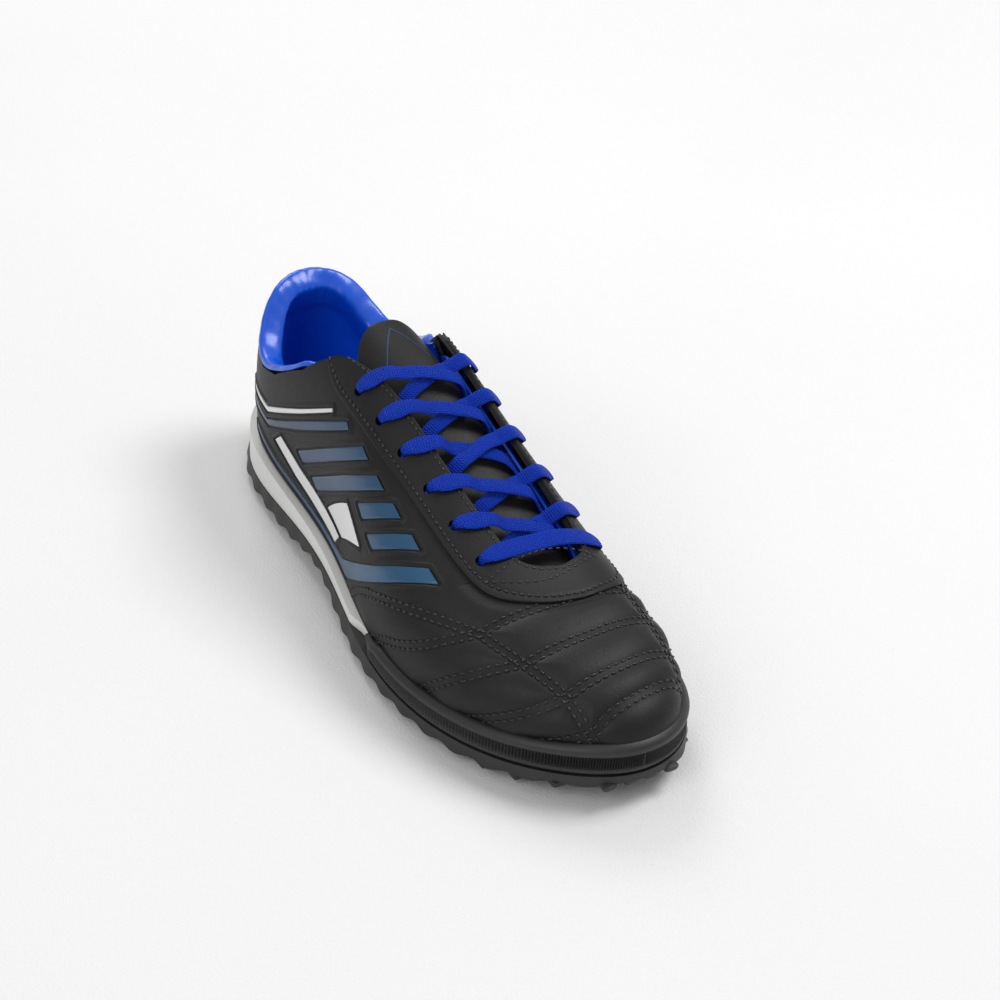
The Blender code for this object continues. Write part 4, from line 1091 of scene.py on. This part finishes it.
# Printed strips: smooth blue and white film pressed into the side panels, flush between the raised borders,
# and a thin blue chevron on the tongue.
def blue_print(spot):
    x = spot.node("ShaderNodeSeparateXYZ", {}, {"Vector": spot})
    dust = noise(spot, 120.0, 3.0)
    color = between(x * 5.0 + 0.42, (0.006, 0.030, 0.085), (0.012, 0.110, 0.230))
    return color, dust * 0.15 + 0.28, dust * 0.00006


def white_print(spot):
    dust = noise(spot, 120.0, 3.0)
    return between(dust, (0.72, 0.72, 0.72), (0.80, 0.80, 0.81)), dust * 0.15 + 0.30, dust * 0.00006


PRINTS = {"stripe": finish_of("blue_print", blue_print, Coat_Weight=0.2),
          "white": finish_of("white_print", white_print)}


def print_strip(patch, side):
    def place(a, b, c):
        spot = patch(a, b)
        high = 0.00030 - rounded(b, 0.004, 0.0003)
        return skin(spot[:, 0], -side * spot[:, 1], SHELL_OUT + np.where(c > 0.5, high, -0.0002))
    return place


def place_chevron(a, b, c):
    """A thin open chevron printed across the tongue below its tip."""
    across = 0.5 + (a - 0.5) * 0.50
    along = 0.955 - 0.12 * np.abs(2 * a - 1) + 0.008 * (b - 0.5)
    return place_tongue(-SKIN_TONGUE, 0.0002)(along, across, 0 * c + 1) + (0, 0, 0.00012) * (c[:, None] > 0.5)


show("tongue_chevron", sheet(60, 2, place_chevron), PRINTS["stripe"], [], "tongue")
for name, (low, high) in STRIPES.items():
    kind = name.split("_")[0]
    slot = "white_print" if kind == "white" else "blue_print"
    for side, word in ((-1, "lateral"), (1, "medial")):
        bm = sheet(110, 10, print_strip(strip_patch(low, high, side), side))
        show(name + "_print_" + word, bm, PRINTS[kind], [name + "_" + word])


# Lace: one flat braided ribbon, bright blue, straight across the front pair of holes and then criss-crossed
# up the throat. It dives through each hole, and both ends are tucked inside.
LACE_WIDTH = 0.0078
LACE_THICK = 0.0013
FACING_HALF = 0.205
BRAID_PITCH = 0.0011
LACE_TOP = OVER_OUT + 0.0006 + LACE_THICK / 2
LACE_UNDER = -0.0011 - LACE_THICK / 2
GAP_WIDTH = 0.82 * LACE_WIDTH


def eyelet(row, side):
    return np.array([EYELET_ROWS[row] * LAST_LENGTH, side * EYELET_OUT[row] * BALL_WIDTH])


def dive(hole, heading):
    """Down through an eyelet from outside. Each row: along, across, height, width, thickness, blend."""
    steps = ((-0.0072, LACE_TOP, 1.0, 1.0, 1), (-0.0045, LACE_TOP + 0.0002, 0.90, 1.0, 0.8),
             (-0.0020, LACE_TOP + 0.0004, 0.68, 1.15, 0.3), (-0.0004, LACE_TOP - 0.0006, 0.48, 1.4, 0),
             (0, OVER_OUT * 0.6, 0.42, 1.5, 0), (0, 0.0008, 0.42, 1.5, 0), (0, -0.0004, 0.42, 1.5, 0))
    return [(*(hole + heading * at), high, LACE_WIDTH * wide, LACE_THICK * thick, blend)
            for at, high, wide, thick, blend in steps]


def under(hole, heading):
    steps = ((0.0005, LACE_UNDER + 0.0004, 0.48, 1.4, 0), (0.0022, LACE_UNDER, 0.66, 1.1, 0.4),
             (0.0050, LACE_UNDER, 0.82, 1.0, 1))
    return [(*(hole + heading * at), high, LACE_WIDTH * wide, LACE_THICK * thick, blend)
            for at, high, wide, thick, blend in steps]


def half_lace(side):
    """From the middle of the front bar to the tucked end: rows of the path and their width headings."""
    rows = []
    turns = []

    def put(points, heading):
        for point in points:
            rows.append(point[:5])
            turns.append((point[5], *heading))

    here = eyelet(5, side)
    out = np.array([0.0, side])
    edge_at = FACING_HALF * BALL_WIDTH
    middle = LACE_TOP - 0.0014
    put([(here[0], 0, middle, LACE_WIDTH, LACE_THICK, 1)], out)
    put([(here[0], side * edge_at * 0.75, middle + 0.0008, LACE_WIDTH, LACE_THICK, 1)], out)
    put(dive(here, out), out)
    for row in range(4, -1, -1):
        to = eyelet(row, -side)
        line = to - here
        length = np.linalg.norm(line)
        heading = line / length
        put(under(here, heading), heading)
        leave = np.interp(here[0] / LAST_LENGTH, (0.392, 0.543, 0.688), (0.205, 0.198, 0.180))
        reach = (leave * BALL_WIDTH - 0.0008) / abs(line[1]) * length
        arrive = (0.177 if row == 4 else 0.195) * BALL_WIDTH / abs(line[1]) * length
        on_upper = (side > 0) != (row == 2)
        low, high = (0.0024, 0.0030) if on_upper else (0.0001, 0.0006)
        for at, height in ((-reach, LACE_UNDER), (-reach * 0.62, low), (0, (low + high) / 2),
                           (arrive * 0.60, high), (arrive * 0.87, LACE_TOP), (arrive, LACE_TOP + 0.0003)):
            spot = (here + to) / 2 + heading * at
            put([(spot[0], spot[1], height, GAP_WIDTH, LACE_THICK, 1)], heading)
        put(dive(to, heading), heading)
        here = to
        side = -side
    out = np.array([0.0, side])
    tuck = LACE_UNDER - 0.0006
    put([(here[0], here[1] + side * 0.0005, LACE_UNDER + 0.0004, 0.0038, LACE_THICK * 1.3, 0)], out)
    put([(here[0] + 0.0004, here[1] + side * 0.0030, tuck, 0.0052, LACE_THICK, 1)], out)
    slant = np.array([0.7, 0.7 * side])
    put([(here[0] + 0.0030, here[1] + side * 0.0070, tuck, 0.0060, LACE_THICK, 1)], slant)
    forward = np.array([1.0, 0.0])
    for at in (0.010, 0.018, 0.026, 0.034, 0.042):
        put([(here[0] + at, here[1] + side * 0.0095, tuck, 0.0062, LACE_THICK, 1)], forward)
    return np.array(rows), np.array(turns)


def smooth_path(rows, headings):
    """Samples the path finely, rounds its corners off and keeps the stations the ribbon needs."""
    gaps = np.linalg.norm(np.diff(rows[:, :3], axis=0), axis=1)
    reach = np.concatenate([[0], np.cumsum(gaps)])
    fine = np.arange(0, reach[-1], 0.0002)
    values = np.concatenate([rows, headings], 1)
    dense = np.stack([np.interp(fine, reach, column) for column in values.T], 1)
    kernel = np.hanning(13)[1:-1]
    kernel /= kernel.sum()
    padded = np.concatenate([np.repeat(dense[:1], 5, 0), dense, np.repeat(dense[-1:], 5, 0)])
    dense = np.stack([np.convolve(column, kernel, "valid") for column in padded.T], 1)
    marks = [0.0]
    for start, stop in zip(reach[:-1], reach[1:]):
        count = max(1, int(np.ceil((stop - start) / 0.0012)))
        marks += list(start + (stop - start) * np.arange(1, count + 1) / count)
    return np.stack([np.interp(marks, fine, column) for column in dense.T], 1)


def ribbon_frame(path):
    """World points of the centre line and the two directions across the ribbon."""
    def world(x, across, height):
        u = round_of(x / LAST_LENGTH)
        return skin(u, at_side(u, across), height)

    x, across, height = path[:, 0], path[:, 1], path[:, 2]
    centre = world(x, across, height)
    step = 0.0005
    ahead = world(x + step, across, height) - centre
    beside = world(x, across + step, height) - centre
    ahead /= np.linalg.norm(ahead, axis=1, keepdims=True)
    beside /= np.linalg.norm(beside, axis=1, keepdims=True)
    blend = path[:, 5:6]
    along = np.concatenate([path[:, 6:7], path[:, 7:8]], 1)
    along /= np.linalg.norm(along, axis=1, keepdims=True) + 1e-12
    return centre, ahead, beside, blend, along


def blue_braid(spot):
    parts = spot.node("ShaderNodeSeparateXYZ", {}, {"Vector": spot})
    side = spot.node("ShaderNodeSeparateXYZ", {}, {"Vector": spot}, 1)
    zig = spot.maths("PINGPONG", side * 5.0, 0.5)
    rows = spot.maths("SINE", (parts + zig * 0.9) * 6.2832)
    ribs = spot.maths("SINE", side * 62.832)
    loops = rows * 0.5 + ribs * 0.35
    # Painted shade: the colour follows the same loop pattern as the bump, darker in the hollows between the
    # loops and lighter on their crowns.
    color = between(loops * 0.5 + 0.5, (0.0005, 0.014, 0.20), (0.0015, 0.052, 0.64))
    return color, loops * 0.08 + 0.55, loops * 0.00030


BRAID = finish_of("blue_braid", blue_braid, follows=True, Specular_IOR_Level=0.15)
parts = []
for side in (-1, 1):
    rows, turns = half_lace(side)
    flip = np.where(turns[:, 2:3] == 0, 0, np.sign(turns[:, 2:3]))
    last = flip[np.nonzero(flip[:, 0])[0][-1]]
    flip = np.where(flip == 0, last, flip)
    width = np.stack([turns[:, 2], -turns[:, 1]], 1) * flip
    width = turns[:, :1] * width + (1 - turns[:, :1]) * np.array([1.0, 0.0])
    parts.append(smooth_path(rows, np.concatenate([turns[:, :1], width], 1)))
path = np.concatenate([parts[0][:0:-1], parts[1]])
centre, ahead, beside, blend, wide = ribbon_frame(path)
tangent = np.gradient(centre, axis=0)
tangent /= np.linalg.norm(tangent, axis=1, keepdims=True)
span = ahead * wide[:, :1] + beside * wide[:, 1:]
span -= tangent * (span * tangent).sum(1, keepdims=True)
span /= np.linalg.norm(span, axis=1, keepdims=True)
thick = np.cross(tangent, span)
half_width = path[:, 3:4] / 2
half_thick = path[:, 4:5] / 2


def place_ribbon(a, b, c):
    """Rolls the sheet's two faces into one flat oval round the path."""
    index = np.round(a * (len(path) - 1)).astype(int)
    reach = 2 * b - 1
    across = np.sign(reach) * np.abs(reach)**0.8
    crown = np.sqrt(np.clip(1 - np.abs(across)**3.0, 0.02, 1)) * np.where(c > 0.5, 1, -1)
    bead = 1 + 0.12 * np.exp(-((np.abs(across) - 0.9) / 0.06)**2)
    return (centre[index] + span[index] * half_width[index] * across[:, None]
            + thick[index] * half_thick[index] * (crown * bead)[:, None])


bm = sheet(len(path) - 1, 14, place_ribbon)
reach = np.concatenate([[0], np.cumsum(np.linalg.norm(np.diff(centre, axis=0), axis=1))])
braid_map = bm.loops.layers.uv.verify()
ribbon_tree = tree_of(centre)
for face in bm.faces:
    for loop in face.loops:
        _, index, _ = ribbon_tree.find(loop.vert.co)
        offset = (np.array(loop.vert.co) - centre[index]) @ span[index]
        loop[braid_map].uv = (reach[index] / BRAID_PITCH, offset / LACE_WIDTH + 0.5)
show("lace_ribbon", bm, BRAID, ["lace"], sharp=3.0)


# Hidden layers: the linings, foams, board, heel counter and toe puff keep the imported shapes. The board is
# pressed fibre, the foams are open-celled and the linings are the collar's blue cloth.
def open_foam(spot):
    pores = cells(spot, 900.0)
    return between(pores, (0.05, 0.05, 0.055), (0.16, 0.16, 0.17)), pores * 0.1 + 0.8, pores * 0.0003


PLAIN = {"blue_lining": LINING_FINISH, "padding": finish_of("open_foam", open_foam), "stiffener": FOAM_FINISH,
         "board": finish_of("pressed_board", open_foam)}
slot_of = {part["node"]: part["material_slot"] for part in frame["record"]["subparts"]}
for name in ("sockliner", "vamp_lining", "quarter_lining_lateral", "quarter_lining_medial", "tongue_lining",
             "collar_foam", "vamp_foam", "tongue_foam", "insole_board", "heel_counter", "toe_puff"):
    piece = frame["nodes"][name]
    piece.data.materials.clear()
    piece.data.materials.append(PLAIN[slot_of[name]])
